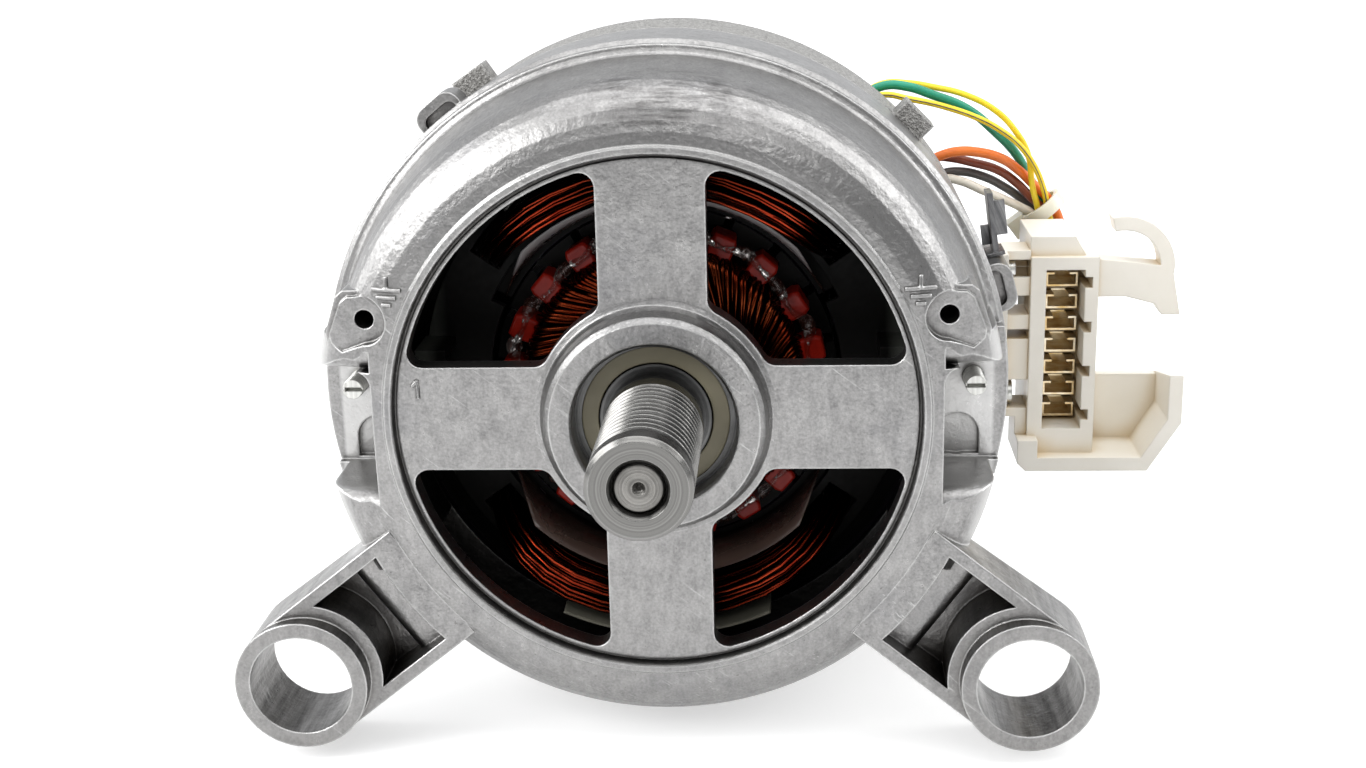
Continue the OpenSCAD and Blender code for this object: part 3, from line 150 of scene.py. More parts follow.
def mix_colour(tree, factor, first, second):
    return put(tree, "ShaderNodeMix", {0: factor, 6: first, 7: second}, data_type="RGBA").outputs[2]


def remap(tree, value, low, high, to_low=0.0, to_high=1.0):
    return put(tree, "ShaderNodeMapRange", {0: value, 1: low, 2: high, 3: to_low, 4: to_high}).outputs[0]


def calculate(tree, operation, first, second=0.0):
    return put(tree, "ShaderNodeMath", {0: first, 1: second}, operation=operation).outputs[0]


def overlap(tree, *masks):
    """Mask of where all the masks meet."""
    common = masks[0]
    for mask in masks[1:]:
        common = calculate(tree, "MULTIPLY", common, mask)
    return common


def weigh(tree, *pairs):
    """Sum of values, each times its share."""
    total = 0.0
    for value, share in pairs:
        total = put(tree, "ShaderNodeMath", {0: value, 1: share, 2: total}, operation="MULTIPLY_ADD").outputs[0]
    return total


def tint(tree, base, mask, share, tone):
    """Lays a share of a tone over a base colour, where the mask is."""
    return mix_colour(tree, calculate(tree, "MULTIPLY", mask, share), base, tone)


def noise(tree, vector, scale, detail=4.0, roughness=0.55):
    inputs = {"Vector": vector, "Scale": scale, "Detail": detail, "Roughness": roughness}
    return put(tree, "ShaderNodeTexNoise", inputs).outputs["Fac"]


def object_place(tree):
    return put(tree, "ShaderNodeTexCoord").outputs["Object"]


def vector_math(tree, operation, first, second=(0.0, 0.0, 0.0), output="Vector"):
    return put(tree, "ShaderNodeVectorMath", {0: first, 1: second}, operation=operation).outputs[output]


def split(tree, vector):
    """The outputs X, Y and Z of a vector."""
    return put(tree, "ShaderNodeSeparateXYZ", {0: vector}).outputs


def off_shaft(tree, place):
    """Distance from the middle line of the shaft."""
    flat = vector_math(tree, "MULTIPLY", place, (1.0, 0.0, 1.0))
    return vector_math(tree, "LENGTH", flat, output="Value")


def start_group(name, inputs, outputs):
    """A shader node group with named value inputs and the outputs given as name and kind."""
    group = bpy.data.node_groups.new(name, "ShaderNodeTree")
    for socket, value in inputs.items():
        group.interface.new_socket(socket, in_out="INPUT", socket_type="NodeSocketFloat").default_value = value
    for socket, kind in outputs.items():
        group.interface.new_socket(socket, in_out="OUTPUT", socket_type=kind)
    entry = group.nodes.new("NodeGroupInput")
    leave = group.nodes.new("NodeGroupOutput")
    return group, entry.outputs, leave.inputs


def use_group(tree, group, **values):
    return put(tree, "ShaderNodeGroup", values, node_tree=group).outputs


def start_material(name):
    """A new material with its node tree, its shader and the place in the object's own coordinates."""
    material = bpy.data.materials.new(name)
    material.use_nodes = True
    tree = material.node_tree
    return material, tree, tree.nodes["Principled BSDF"], object_place(tree)


def wire_up(shader, **sockets):
    """Fills the shader's sockets; underscores in a name stand for spaces."""
    for name, value in sockets.items():
        fill(shader.inputs[name.replace("_", " ")], value)


def bump(tree, height, distance, strength=1.0, normal=None):
    inputs = {"Height": height, "Distance": distance, "Strength": strength}
    if normal is not None:
        inputs["Normal"] = normal
    return put(tree, "ShaderNodeBump", inputs).outputs["Normal"]


# Effects that several materials share


def make_edge_group():
    """Soft round edges, and a mask of the edges, where a highlight is painted on."""
    group, entry, leave = start_group(
        "rounded_edge", {"Radius": 0.0008}, {"PaintedHighlight": "NodeSocketFloat", "Normal": "NodeSocketVector"}
    )
    rounded = put(group, "ShaderNodeBevel", {"Radius": entry["Radius"]}, samples=6).outputs["Normal"]
    face = put(group, "ShaderNodeNewGeometry").outputs["Normal"]
    likeness = vector_math(group, "DOT_PRODUCT", rounded, face, "Value")
    group.links.new(remap(group, likeness, 0.995, 0.88), leave["PaintedHighlight"])
    group.links.new(rounded, leave["Normal"])
    return group


def make_cast_group():
    """Skin of a die casting: broad cloudy tone, fine pits and a slow waviness."""
    group, entry, leave = start_group(
        "cast_skin",
        {"Cloud": 60.0, "Grain": 900.0},
        {"Tone": "NodeSocketFloat", "Grain": "NodeSocketFloat", "Height": "NodeSocketFloat"},
    )
    place = object_place(group)
    cloud = noise(group, place, entry["Cloud"], 6.0, 0.62)
    grain = noise(group, place, entry["Grain"], 3.0, 0.6)
    ripple = noise(group, place, calculate(group, "MULTIPLY", entry["Cloud"], 3.4), 4.0, 0.55)
    tone = remap(group, weigh(group, (cloud, 0.65), (ripple, 0.35)), 0.34, 0.66)
    group.links.new(tone, leave["Tone"])
    group.links.new(grain, leave["Grain"])
    group.links.new(weigh(group, (grain, 0.3), (ripple, 1.0)), leave["Height"])
    return group


def make_turned_group():
    """Rings left by turning on a lathe round the shaft: they follow radius and depth only."""
    group, entry, leave = start_group("turned_rings", {"Density": 1500.0}, {"Rings": "NodeSocketFloat"})
    place = object_place(group)
    section = put(group, "ShaderNodeCombineXYZ", {"X": off_shaft(group, place), "Y": split(group, place)["Y"]})
    rings = noise(group, section.outputs[0], entry["Density"], 5.0, 0.7)
    group.links.new(rings, leave["Rings"])
    return group


def make_shade_and_dirt_group():
    """Mask of corners and hollows, where dust gathers and light is lost, used to paint shade."""
    group, entry, leave = start_group("shade_and_dirt", {"Reach": 0.012}, {"Mask": "NodeSocketFloat"})
    shade = put(group, "ShaderNodeAmbientOcclusion", {"Distance": entry["Reach"]}, samples=6)
    group.links.new(remap(group, shade.outputs["AO"], 0.25, 0.85, 1.0, 0.0), leave["Mask"])
    return group


edge_group = make_edge_group()
cast_group = make_cast_group()
turned_group = make_turned_group()
shade_and_dirt_group = make_shade_and_dirt_group()


def in_shade(tree, tone, share=0.96):
    """Paints shade over a tone deep inside the motor, the more so where the place is closed in."""
    depth = use_group(tree, shade_and_dirt_group, Reach=0.045)
    lost = remap(tree, depth["Mask"], 0.15, 0.80, 0.0, share)
    return mix_colour(tree, lost, tone, (0.0008, 0.0006, 0.0005))


# Zones of the front casting: where each begins and is full, and the middle and spread of the rubbed patch

FOOT_REACH = (70.5 * MM, 76.0 * MM)
INNER_REACH = (62.0 * MM, 61.2 * MM)
INNER_DEPTH = (45.5 * MM, 47.5 * MM)
RECESS_NEAR = (51.5 * MM, 52.5 * MM)
RECESS_FAR = (66.2 * MM, 65.5 * MM)
RECESS_BOTTOM = (-31.0 * MM, -29.0 * MM)
RECESS_TOP = (17.0 * MM, 15.0 * MM)
RECESS_DEPTH = (42.5 * MM, 45.0 * MM)
RUBBED_PLACE = (4.0 * MM, 45.0 * MM, 60.0 * MM)
RUBBED_SPREAD = (24.0 * MM, 12.0 * MM, 10.0 * MM)


def foot_zone(tree, place):
    """Mask of the feet, which keep the dull skin of the mould."""
    return remap(tree, off_shaft(tree, place), *FOOT_REACH)


def inner_wall_shade(tree, place):
    """Mask of the walls inside the casting, where black shade is painted."""
    behind = remap(tree, split(tree, place)["Y"], *INNER_DEPTH)
    return overlap(tree, remap(tree, off_shaft(tree, place), *INNER_REACH), behind)


def side_recess_light(tree, place):
    """Mask of the recesses at both ends of the level spokes, whose walls are painted bright as if lit."""
    parts = split(tree, place)
    aside = calculate(tree, "ABSOLUTE", parts["X"])
    limits = (
        (aside, RECESS_NEAR), (aside, RECESS_FAR), (parts["Z"], RECESS_BOTTOM), (parts["Z"], RECESS_TOP),
        (parts["Y"], RECESS_DEPTH),
    )
    return overlap(tree, *[remap(tree, value, *limit) for value, limit in limits])


def rubbed_patch(tree, place):
    """Mask of the scuffed patch on the top of the front shoulder, streaked across."""
    offset = vector_math(tree, "SUBTRACT", place, RUBBED_PLACE)
    share = vector_math(tree, "DIVIDE", offset, RUBBED_SPREAD)
    near = remap(tree, vector_math(tree, "LENGTH", share, output="Value"), 1.0, 0.45)
    streak = noise(tree, vector_math(tree, "MULTIPLY", place, (0.12, 1.0, 1.0)), 900.0, 4.0, 0.65)
    blotch = noise(tree, place, 140.0, 3.0)
    return overlap(tree, remap(tree, streak, 0.40, 0.62), remap(tree, blotch, 0.36, 0.56), near)


def steep(tree):
    """Mask of the faces that run along the shaft, not across it."""
    facing = put(tree, "ShaderNodeNewGeometry").outputs["True Normal"]
    return remap(tree, calculate(tree, "ABSOLUTE", split(tree, facing)["Y"]), 0.7, 0.3)


def along_shaft(tree, place):
    """Grain drawn out along the shaft, as a broach or a core leaves it in a bore."""
    return noise(tree, vector_math(tree, "MULTIPLY", place, (1.0, 0.07, 1.0)), 520.0, 5.0, 0.7)


def brushed(tree, place, squeeze, scale):
    """Grain drawn out along the height of the casting."""
    return noise(tree, vector_math(tree, "MULTIPLY", place, (1.0, 1.0, squeeze)), scale, 5.0, 0.65)


def scratches(tree, place):
    """Mask of hairline scratches that run aslant, broken into patches."""
    turned = put(tree, "ShaderNodeVectorRotate", {"Vector": place, "Axis": (0, 1, 0), "Angle": 0.9}).outputs[0]
    line = remap(tree, brushed(tree, turned, 0.035, 1500.0), 0.60, 0.70)
    patch = remap(tree, noise(tree, place, 75.0, 3.0), 0.46, 0.60)
    return overlap(tree, line, patch)


# Finishes


def cast_aluminium():
    """Satin die casting: mottled, stained, pitted and duller on the feet, with painted highlights on its edges,
    painted shade and dust in its hollows, painted shade in its creases, black painted shade on its inner walls and
    painted light in its side recesses.
    """
    material, tree, shader, place = start_material("cast_aluminium")
    skin = use_group(tree, cast_group, Cloud=55.0, Grain=1100.0)
    edge = use_group(tree, edge_group, Radius=0.0006)
    shade_and_dirt = use_group(tree, shade_and_dirt_group, Reach=0.009)["Mask"]
    crease_shade = use_group(tree, shade_and_dirt_group, Reach=0.0016)["Mask"]
    foot = foot_zone(tree, place)
    mottle = remap(tree, brushed(tree, place, 0.35, 560.0), 0.30, 0.70)
    fine = remap(tree, noise(tree, place, 1900.0, 3.0, 0.6), 0.32, 0.68)
    tone = weigh(tree, (skin["Tone"], 0.26), (mottle, 0.37), (fine, 0.37))
    metal = mix_colour(tree, tone, (0.172, 0.170, 0.170), (0.375, 0.370, 0.364))
    stain = remap(tree, noise(tree, place, 42.0, 7.0, 0.68), 0.54, 0.68)
    pit = remap(tree, noise(tree, place, 1300.0, 2.0), 0.69, 0.74)
    streak = remap(tree, along_shaft(tree, place), 0.36, 0.64)
    bore_tone = mix_colour(tree, streak, (0.060, 0.058, 0.055), (0.26, 0.255, 0.25))
    layers = (
        (stain, 0.26, (0.150, 0.152, 0.165)),
        (pit, 0.5, (0.08, 0.076, 0.072)),
        (scratches(tree, place), 0.55, (0.66, 0.66, 0.65)),
        (foot, 0.25, (0.15, 0.147, 0.142)),
        (overlap(tree, foot, steep(tree)), 0.75, bore_tone),
        # Painted shade: the walls inside the casting are painted near-black.
        (inner_wall_shade(tree, place), 0.95, (0.010, 0.009, 0.008)),
        # Painted light: the walls of the side recesses are painted bright.
        (side_recess_light(tree, place), 0.9, (0.50, 0.496, 0.49)),
        (rubbed_patch(tree, place), 0.8, (0.08, 0.077, 0.076)),
        # Painted shade and dust in the hollows, more on the feet.
        (shade_and_dirt, remap(tree, foot, 0.0, 1.0, 0.28, 0.75), (0.070, 0.060, 0.051)),
        # Painted shade in the creases.
        (crease_shade, 0.75, (0.030, 0.027, 0.024)),
        # Painted highlights on the edges, fewer in the hollows.
        (edge["PaintedHighlight"], remap(tree, shade_and_dirt, 0.2, 0.9, 0.66, 0.10), (0.78, 0.78, 0.77)),
    )
    for mask, share, layer_tone in layers:
        metal = tint(tree, metal, mask, share, layer_tone)
    dull = remap(tree, tone, 0.1, 0.9, 0.42, 0.25)
    normal = bump(tree, skin["Height"], 0.00045, 0.6, edge["Normal"])
    wire_up(shader, Base_Color=metal, Metallic=1.0, Roughness=dull, Normal=normal)
    return material


def rough_cast_aluminium():
    """Grainy casting of the rear shield, with painted shade and dust in its hollows and painted highlights on its
    edges.
    """
    material, tree, shader, _ = start_material("rough_cast_aluminium")
    grain = use_group(tree, cast_group, Cloud=90.0, Grain=1500.0)["Grain"]
    edge = use_group(tree, edge_group, Radius=0.0008)
    shade_and_dirt = use_group(tree, shade_and_dirt_group, Reach=0.012)["Mask"]
    metal = mix_colour(tree, remap(tree, grain, 0.35, 0.65), (0.20, 0.197, 0.19), (0.43, 0.424, 0.41))
    # Painted shade and dust in the hollows, and painted highlights on the edges.
    metal = tint(tree, metal, shade_and_dirt, 0.4, (0.085, 0.075, 0.064))
    metal = tint(tree, metal, edge["PaintedHighlight"], 0.4, (0.72, 0.715, 0.70))
    dull = remap(tree, grain, 0.3, 0.7, 0.66, 0.42)
    normal = bump(tree, grain, 0.0008, 1.0, edge["Normal"])
    wire_up(shader, Base_Color=metal, Metallic=1.0, Roughness=dull, Normal=normal)
    return material


def lathe_shine(tree, shader, strength):
    """Stretches the highlights round the shaft."""
    around = put(tree, "ShaderNodeTangent", direction_type="RADIAL", axis="Y").outputs["Tangent"]
    wire_up(shader, Anisotropic=strength, Tangent=around)


def turned_metal(name, dark, bright, density, dullness):
    material, tree, shader, place = start_material(name)
    rings = use_group(tree, turned_group, Density=density)["Rings"]
    edge = use_group(tree, edge_group, Radius=0.0003)
    scratch = noise(tree, place, 260.0, 5.0, 0.7)
    level = weigh(tree, (rings, 0.75), (scratch, 0.25))
    metal = mix_colour(tree, remap(tree, level, 0.35, 0.65), dark, bright)
    dull = remap(tree, level, 0.3, 0.7, dullness + 0.1, dullness - 0.06)
    normal = bump(tree, rings, 0.00012, 0.5, edge["Normal"])
    wire_up(shader, Base_Color=metal, Metallic=1.0, Roughness=dull, Normal=normal)
    lathe_shine(tree, shader, 0.65)
    return material


def pulley_steel():
    """Turned and ribbed steel: shade painted black in the grooves, highlights painted bright along the crests and on
    the edges, and the end face bright with turned rings.
    """
    material, tree, shader, place = start_material("pulley_steel")
    rings = use_group(tree, turned_group, Density=2600.0)["Rings"]
    edge = use_group(tree, edge_group, Radius=0.00025)
    smear = noise(tree, place, 240.0, 5.0, 0.7)
    ribbed = remap(tree, split(tree, place)["Y"], 0.3 * MM, 0.7 * MM)
    groove_shade_crest_light = remap(tree, off_shaft(tree, place), PULLEY_R - 0.9 * MM, PULLEY_R - 0.1 * MM)
    metal = mix_colour(tree, remap(tree, rings, 0.3, 0.7), (0.075, 0.074, 0.071), (0.25, 0.246, 0.237))
    # Painted shade in the grooves, painted highlights on the crests of the ribs.
    ribs = mix_colour(tree, groove_shade_crest_light, (0.006, 0.0058, 0.0056), (0.21, 0.207, 0.20))
    ribs = mix_colour(tree, remap(tree, smear, 0.45, 0.75, 0.0, 0.5), ribs, (0.05, 0.048, 0.045))
    metal = mix_colour(tree, ribbed, metal, ribs)
    # Painted highlights on the edges.
    metal = tint(tree, metal, edge["PaintedHighlight"], 0.35, (0.60, 0.595, 0.58))
    dull = remap(tree, rings, 0.3, 0.7, 0.24, 0.14)
    normal = bump(tree, rings, 0.00008, 0.4, edge["Normal"])
    wire_up(shader, Base_Color=metal, Metallic=1.0, Roughness=dull, Normal=normal)
    lathe_shine(tree, shader, 0.35)
    return material


def lamination_steel():
    """Stacked sheets: fine lines across the shaft, a little rust tone."""
    material, tree, shader, place = start_material("lamination_steel")
    sheets = put(
        tree, "ShaderNodeTexWave", {"Vector": place, "Scale": 320.0, "Distortion": 0.6, "Detail": 2.0},
        bands_direction="Y",
    ).outputs["Fac"]
    stain = noise(tree, place, 70.0)
    # Shade is painted over the sheets deep inside the motor.
    metal = in_shade(tree, mix_colour(tree, stain, (0.012, 0.011, 0.011), (0.040, 0.036, 0.033)))
    wire_up(shader, Base_Color=metal, Metallic=0.85, Roughness=0.48, Normal=bump(tree, sheets, 0.0002, 0.6))
    return material


def enamelled_copper(name, low, high, between, shade):
    """Copper under red-brown enamel: glowing where the light strikes, with shade painted black between the turns and
    deep inside the motor.
    """
    material, tree, shader, place = start_material(name)
    cloud = noise(tree, place, 140.0, 4.0)
    fine = noise(tree, place, 900.0, 2.0)
    turn_shade = use_group(tree, shade_and_dirt_group, Reach=0.0011)["Mask"]
    metal = mix_colour(tree, remap(tree, cloud, 0.32, 0.68), low, high)
    metal = tint(tree, metal, turn_shade, between, (0.020, 0.0025, 0.0012))
    dull = remap(tree, fine, 0.3, 0.7, 0.27, 0.16)
    wire_up(shader, Base_Color=in_shade(tree, metal, shade), Metallic=1.0, Roughness=dull)
    return material


def moulded(name, low, high, dullness, grain=700.0, hollow_shade=None):
    """Moulded plastic: a slight cloud of tone, a fine matt grain and soft edges, with a tone painted as shade in its
    corners if given.
    """
    material, tree, shader, place = start_material(name)
    cloud = noise(tree, place, 45.0, 4.0)
    speck = noise(tree, place, grain, 3.0)
    edge = use_group(tree, edge_group, Radius=0.0005)
    tone = mix_colour(tree, remap(tree, cloud, 0.3, 0.7), low, high)
    # Painted shade: a darker amber tone laid into corners and hollows.
    if hollow_shade is not None:
        tone = tint(tree, tone, use_group(tree, shade_and_dirt_group, Reach=0.005)["Mask"], 0.8, hollow_shade)
    dull = remap(tree, speck, 0.3, 0.7, dullness + 0.07, dullness - 0.05)
    normal = bump(tree, speck, 0.0001, 0.35, edge["Normal"])
    wire_up(shader, Base_Color=tone, Roughness=dull, Normal=normal)
    return material


def white_plastic():
    """Moulded frames of the coils: painted near-black inside as shade and grey at their ends, with more shade painted
    deep in the motor.
    """
    material, tree, shader, place = start_material("white_plastic")
    cloud = noise(tree, place, 60.0, 4.0)
    speck = noise(tree, place, 700.0, 3.0)
    ends = remap(tree, calculate(tree, "ABSOLUTE", split(tree, place)["X"]), 44.5 * MM, 47.0 * MM)
    grey = mix_colour(tree, cloud, (0.085, 0.090, 0.078), (0.15, 0.156, 0.137))
    # Painted shade: the frames are painted near-black inside, grey only at their ends.
    tone = mix_colour(tree, ends, (0.004, 0.0035, 0.003), grey)
    edge = use_group(tree, edge_group, Radius=0.0004)
    normal = bump(tree, speck, 0.0001, 0.35, edge["Normal"])
    wire_up(shader, Base_Color=in_shade(tree, tone, 0.5), Normal=normal)
    wire_up(shader, Roughness=remap(tree, speck, 0.3, 0.7, 0.62, 0.48), Specular_IOR_Level=0.15)
    return material


def tie_nylon():
    """Milky nylon of the cable tie."""
    material, tree, shader, place = start_material("tie_nylon")
    cloud = noise(tree, place, 160.0, 3.0)
    tone = mix_colour(tree, cloud, (0.62, 0.59, 0.47), (0.84, 0.82, 0.72))
    wire_up(shader, Base_Color=tone, Roughness=remap(tree, cloud, 0.3, 0.7, 0.34, 0.24))
    wire_up(shader, Subsurface_Weight=0.4, Subsurface_Radius=(0.002, 0.0018, 0.0012), Subsurface_Scale=1.0)
    return material


def clear_film():
    """Smoky insulating film: glossy, a little see-through, with light painted on its free edge, pale over the shaft
    and brown under it.
    """
    material, tree, shader, place = start_material("clear_film")
    cloud = noise(tree, place, 90.0, 4.0)
    parts = split(tree, place)
    # Painted light: the free edge is painted lighter, palest over the shaft.
    rim = remap(tree, parts["Y"], STACK_FRONT - 6.0 * MM, STACK_FRONT - 9.0 * MM)
    lit_upper = remap(tree, parts["Z"], -5.0 * MM, 5.0 * MM)
    lit_rim_tone = mix_colour(tree, lit_upper, (0.120, 0.078, 0.064), (0.40, 0.37, 0.37))
    tone = mix_colour(tree, cloud, (0.034, 0.019, 0.015), (0.080, 0.048, 0.040))
    tone = mix_colour(tree, rim, tone, lit_rim_tone)
    veil = remap(tree, cloud, 0.3, 0.7, 0.80, 0.93)
    dull = remap(tree, cloud, 0.3, 0.7, 0.30, 0.18)
    wire_up(shader, Base_Color=tone, Alpha=veil, Roughness=dull, Coat_Weight=0.3, Coat_Roughness=0.12)
    return material


def red_fibre():
    """Red fibre of the slot ends, soaked with varnish."""
    material, tree, shader, place = start_material("red_fibre")
    stain = noise(tree, place, 160.0, 4.0)
    tone = mix_colour(tree, remap(tree, stain, 0.3, 0.7), (0.20, 0.006, 0.003), (0.56, 0.022, 0.009))
    normal = bump(tree, noise(tree, place, 500.0), 0.0003, 0.5)
    dull = remap(tree, stain, 0.3, 0.7, 0.44, 0.30)
    # A little shade is painted over the fibre deep inside the motor.
    wire_up(shader, Base_Color=in_shade(tree, tone, 0.3), Roughness=dull, Normal=normal)
    wire_up(shader, Specular_IOR_Level=0.12, Coat_Weight=0.16, Coat_Roughness=0.05)
    return material


def varnish():
    """Clear brown varnish that has run over the lacing and set like glass, with bright glints painted on as near-white
    metallic patches.
    """
    material, tree, shader, place = start_material("varnish")
    run = noise(tree, place, 260.0, 3.0)
    painted_glint = remap(tree, noise(tree, place, 420.0, 2.0), 0.54, 0.64)
    tone = mix_colour(tree, run, (0.030, 0.006, 0.004), (0.090, 0.030, 0.020))
    tone = mix_colour(tree, painted_glint, tone, (0.86, 0.83, 0.80))
    normal = bump(tree, run, 0.0012, 0.8)
    wire_up(shader, Base_Color=tone, Roughness=remap(tree, run, 0.3, 0.7, 0.16, 0.05), Normal=normal)
    wire_up(shader, Metallic=calculate(tree, "MULTIPLY", painted_glint, 0.8), IOR=1.6)
    wire_up(shader, Coat_Weight=0.6, Coat_Roughness=0.03, Alpha=remap(tree, painted_glint, 0.0, 1.0, 0.30, 0.95))
    return material


def tin_brass():
    """Brass contacts under patchy tin."""
    material, tree, shader, place = start_material("tin_brass")
    patch = noise(tree, place, 300.0, 4.0)
    metal = mix_colour(tree, remap(tree, patch, 0.35, 0.65), (0.52, 0.36, 0.15), (0.74, 0.66, 0.50))
    edge = use_group(tree, edge_group, Radius=0.0002)
    wire_up(shader, Base_Color=metal, Metallic=1.0, Roughness=0.30, Normal=edge["Normal"])
    return material


def wire_sleeve(name, low, high):
    """Soft sleeve of a lead: gentle tone changes and a satin skin with small dents."""
    material, tree, shader, place = start_material(name)
    cloud = noise(tree, place, 130.0, 3.0)
    dent = noise(tree, place, 420.0, 2.0)
    tone = mix_colour(tree, remap(tree, cloud, 0.3, 0.7), low, high)
    dull = remap(tree, dent, 0.3, 0.7, 0.44, 0.32)
    wire_up(shader, Base_Color=tone, Roughness=dull, Normal=bump(tree, dent, 0.00012, 0.4))
    return material


# Dark tone, bright tone, density of the rings, dullness
TURNED = {
    "bare_copper": ((0.42, 0.20, 0.11), (0.72, 0.40, 0.24), 1800.0, 0.30),
    "bright_steel": ((0.085, 0.082, 0.077), (0.27, 0.262, 0.248), 2600.0, 0.26),
    "bearing_steel": ((0.045, 0.045, 0.045), (0.16, 0.16, 0.158), 1800.0, 0.34),
    "zinc_steel": ((0.46, 0.46, 0.44), (0.70, 0.70, 0.67), 1400.0, 0.30),
    "tab_steel": ((0.10, 0.10, 0.105), (0.30, 0.30, 0.30), 900.0, 0.36),
}
# Low tone, high tone, dullness, and for some the fineness of the grain and the tone of painted shade in the corners
MOULDED = {
    "seal_rubber": ((0.17, 0.152, 0.100), (0.26, 0.234, 0.160), 0.50),
    "black_plastic": ((0.012, 0.012, 0.012), (0.030, 0.030, 0.031), 0.42),
    "lip_plastic": ((0.15, 0.143, 0.112), (0.25, 0.238, 0.19), 0.45),
    "ivory_nylon": ((0.80, 0.755, 0.665), (0.86, 0.825, 0.75), 0.36, 700.0, (0.55, 0.39, 0.17)),
    "carbon": ((0.022, 0.022, 0.024), (0.055, 0.055, 0.058), 0.55, 1500.0),
    "resin": ((0.030, 0.022, 0.017), (0.060, 0.044, 0.034), 0.40),
    "ferrite": ((0.035, 0.035, 0.038), (0.075, 0.075, 0.080), 0.45, 1200.0),
}
# Low tone, high tone
SLEEVES = {
    "green_pvc": ((0.005, 0.20, 0.115), (0.010, 0.29, 0.175)),
    "yellow_pvc": ((0.80, 0.56, 0.010), (0.90, 0.68, 0.030)),
    "orange_pvc": ((0.70, 0.135, 0.012), (0.82, 0.20, 0.025)),
    "brown_pvc": ((0.155, 0.030, 0.012), (0.24, 0.055, 0.022)),
    "grey_pvc": ((0.060, 0.055, 0.053), (0.105, 0.098, 0.095)),
    "white_pvc": ((0.72, 0.67, 0.57), (0.84, 0.80, 0.71)),
}
# Low tone, high tone, share of painted shade between the turns, share of painted shade deep inside
ROTOR_COPPER = ((0.58, 0.050, 0.012), (0.98, 0.21, 0.066), 0.50, 0.88)
FIELD_COPPER = ((0.34, 0.028, 0.011), (0.78, 0.105, 0.038), 0.45, 0.97)

finishes = {
    "cast_aluminium": cast_aluminium(),
    "rough_cast_aluminium": rough_cast_aluminium(),
    "lamination_steel": lamination_steel(),
    "enamelled_copper": enamelled_copper("enamelled_copper", *ROTOR_COPPER),
    "white_plastic": white_plastic(),
    "clear_film": clear_film(),
    "red_fibre": red_fibre(),
    "tin_brass": tin_brass(),
}
for make, table in ((turned_metal, TURNED), (moulded, MOULDED), (wire_sleeve, SLEEVES)):
    finishes.update({name: make(name, *row) for name, row in table.items()})
varnish_finish = varnish()
field_finish = enamelled_copper("field_copper", *FIELD_COPPER)
own_finishes = {"cable_tie": tie_nylon(), "earth_tab": finishes["tab_steel"], "drive_pulley": pulley_steel()}


def dress_cad_nodes():
    for part in frame["record"]["subparts"]:
        node = frame["nodes"][part["node"]]
        node.data.materials.clear()
        node.data.materials.append(own_finishes.get(part["node"]) or finishes[part["material_slot"]])


# Making pieces

MERGE_DISTANCE = 0.005 * MM


def add_piece(name, data, body, slot, *nodes, finish=None):
    """Links a finished mesh or curve, gives it its finish and lets it ride on a body."""
    piece = link_object(name, data)
    data.materials.append(finish or finishes[slot])
    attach(piece, body)
    if nodes:
        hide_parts(*nodes)
    return piece


def mesh_from(shape, name, smooth=True):
    bmesh.ops.remove_doubles(shape, verts=shape.verts, dist=MERGE_DISTANCE)
    bmesh.ops.recalc_face_normals(shape, faces=shape.faces)
    mesh = bpy.data.meshes.new(name)
    shape.to_mesh(mesh)
    shape.free()
    for polygon in mesh.polygons:
        polygon.use_smooth = smooth
    return mesh


def strand_curve(name, routes, diameter, kind="POLY", sides=2, steps=4):
    """Round strands along lists of points in metres, all in one curve."""
    curve = bpy.data.curves.new(name, "CURVE")
    curve.dimensions = "3D"
    curve.bevel_depth = diameter / 2
    curve.bevel_resolution = sides
    curve.resolution_u = steps
    curve.use_fill_caps = True
    for route in routes:
        spline = curve.splines.new(kind)
        if kind == "BEZIER":
            spline.bezier_points.add(len(route) - 1)
            for knot, place in zip(spline.bezier_points, route):
                knot.co = place
                knot.handle_left_type = "AUTO"
                knot.handle_right_type = "AUTO"
        else:
            spline.points.add(len(route) - 1)
            for knot, place in zip(spline.points, route):
                knot.co = (*place, 1.0)
        spline.use_smooth = True
    return curve


def round_shaft(radius, angle, depth):
    return Vector((radius * math.cos(angle), depth, radius * math.sin(angle)))


def spin_round_shaft(shape, geom, swing, steps):
    """Sweeps an outline round the shaft, through twice the swing."""
    bmesh.ops.spin(shape, geom=geom, cent=(0, 0, 0), axis=(0, -1, 0), angle=2 * swing, steps=steps, use_merge=False)


def curved_plate(shape, outline, middle, swing, depth, steps):
    """A solid plate round the shaft; its outline gives radius and depth in millimetres."""
    corners = [shape.verts.new(round_shaft(r * MM, middle - swing, depth + y * MM)) for r, y in outline]
    spin_round_shaft(shape, [shape.faces.new(corners)], swing, steps)


# Leads: the routes of the CAD solids, in millimetres

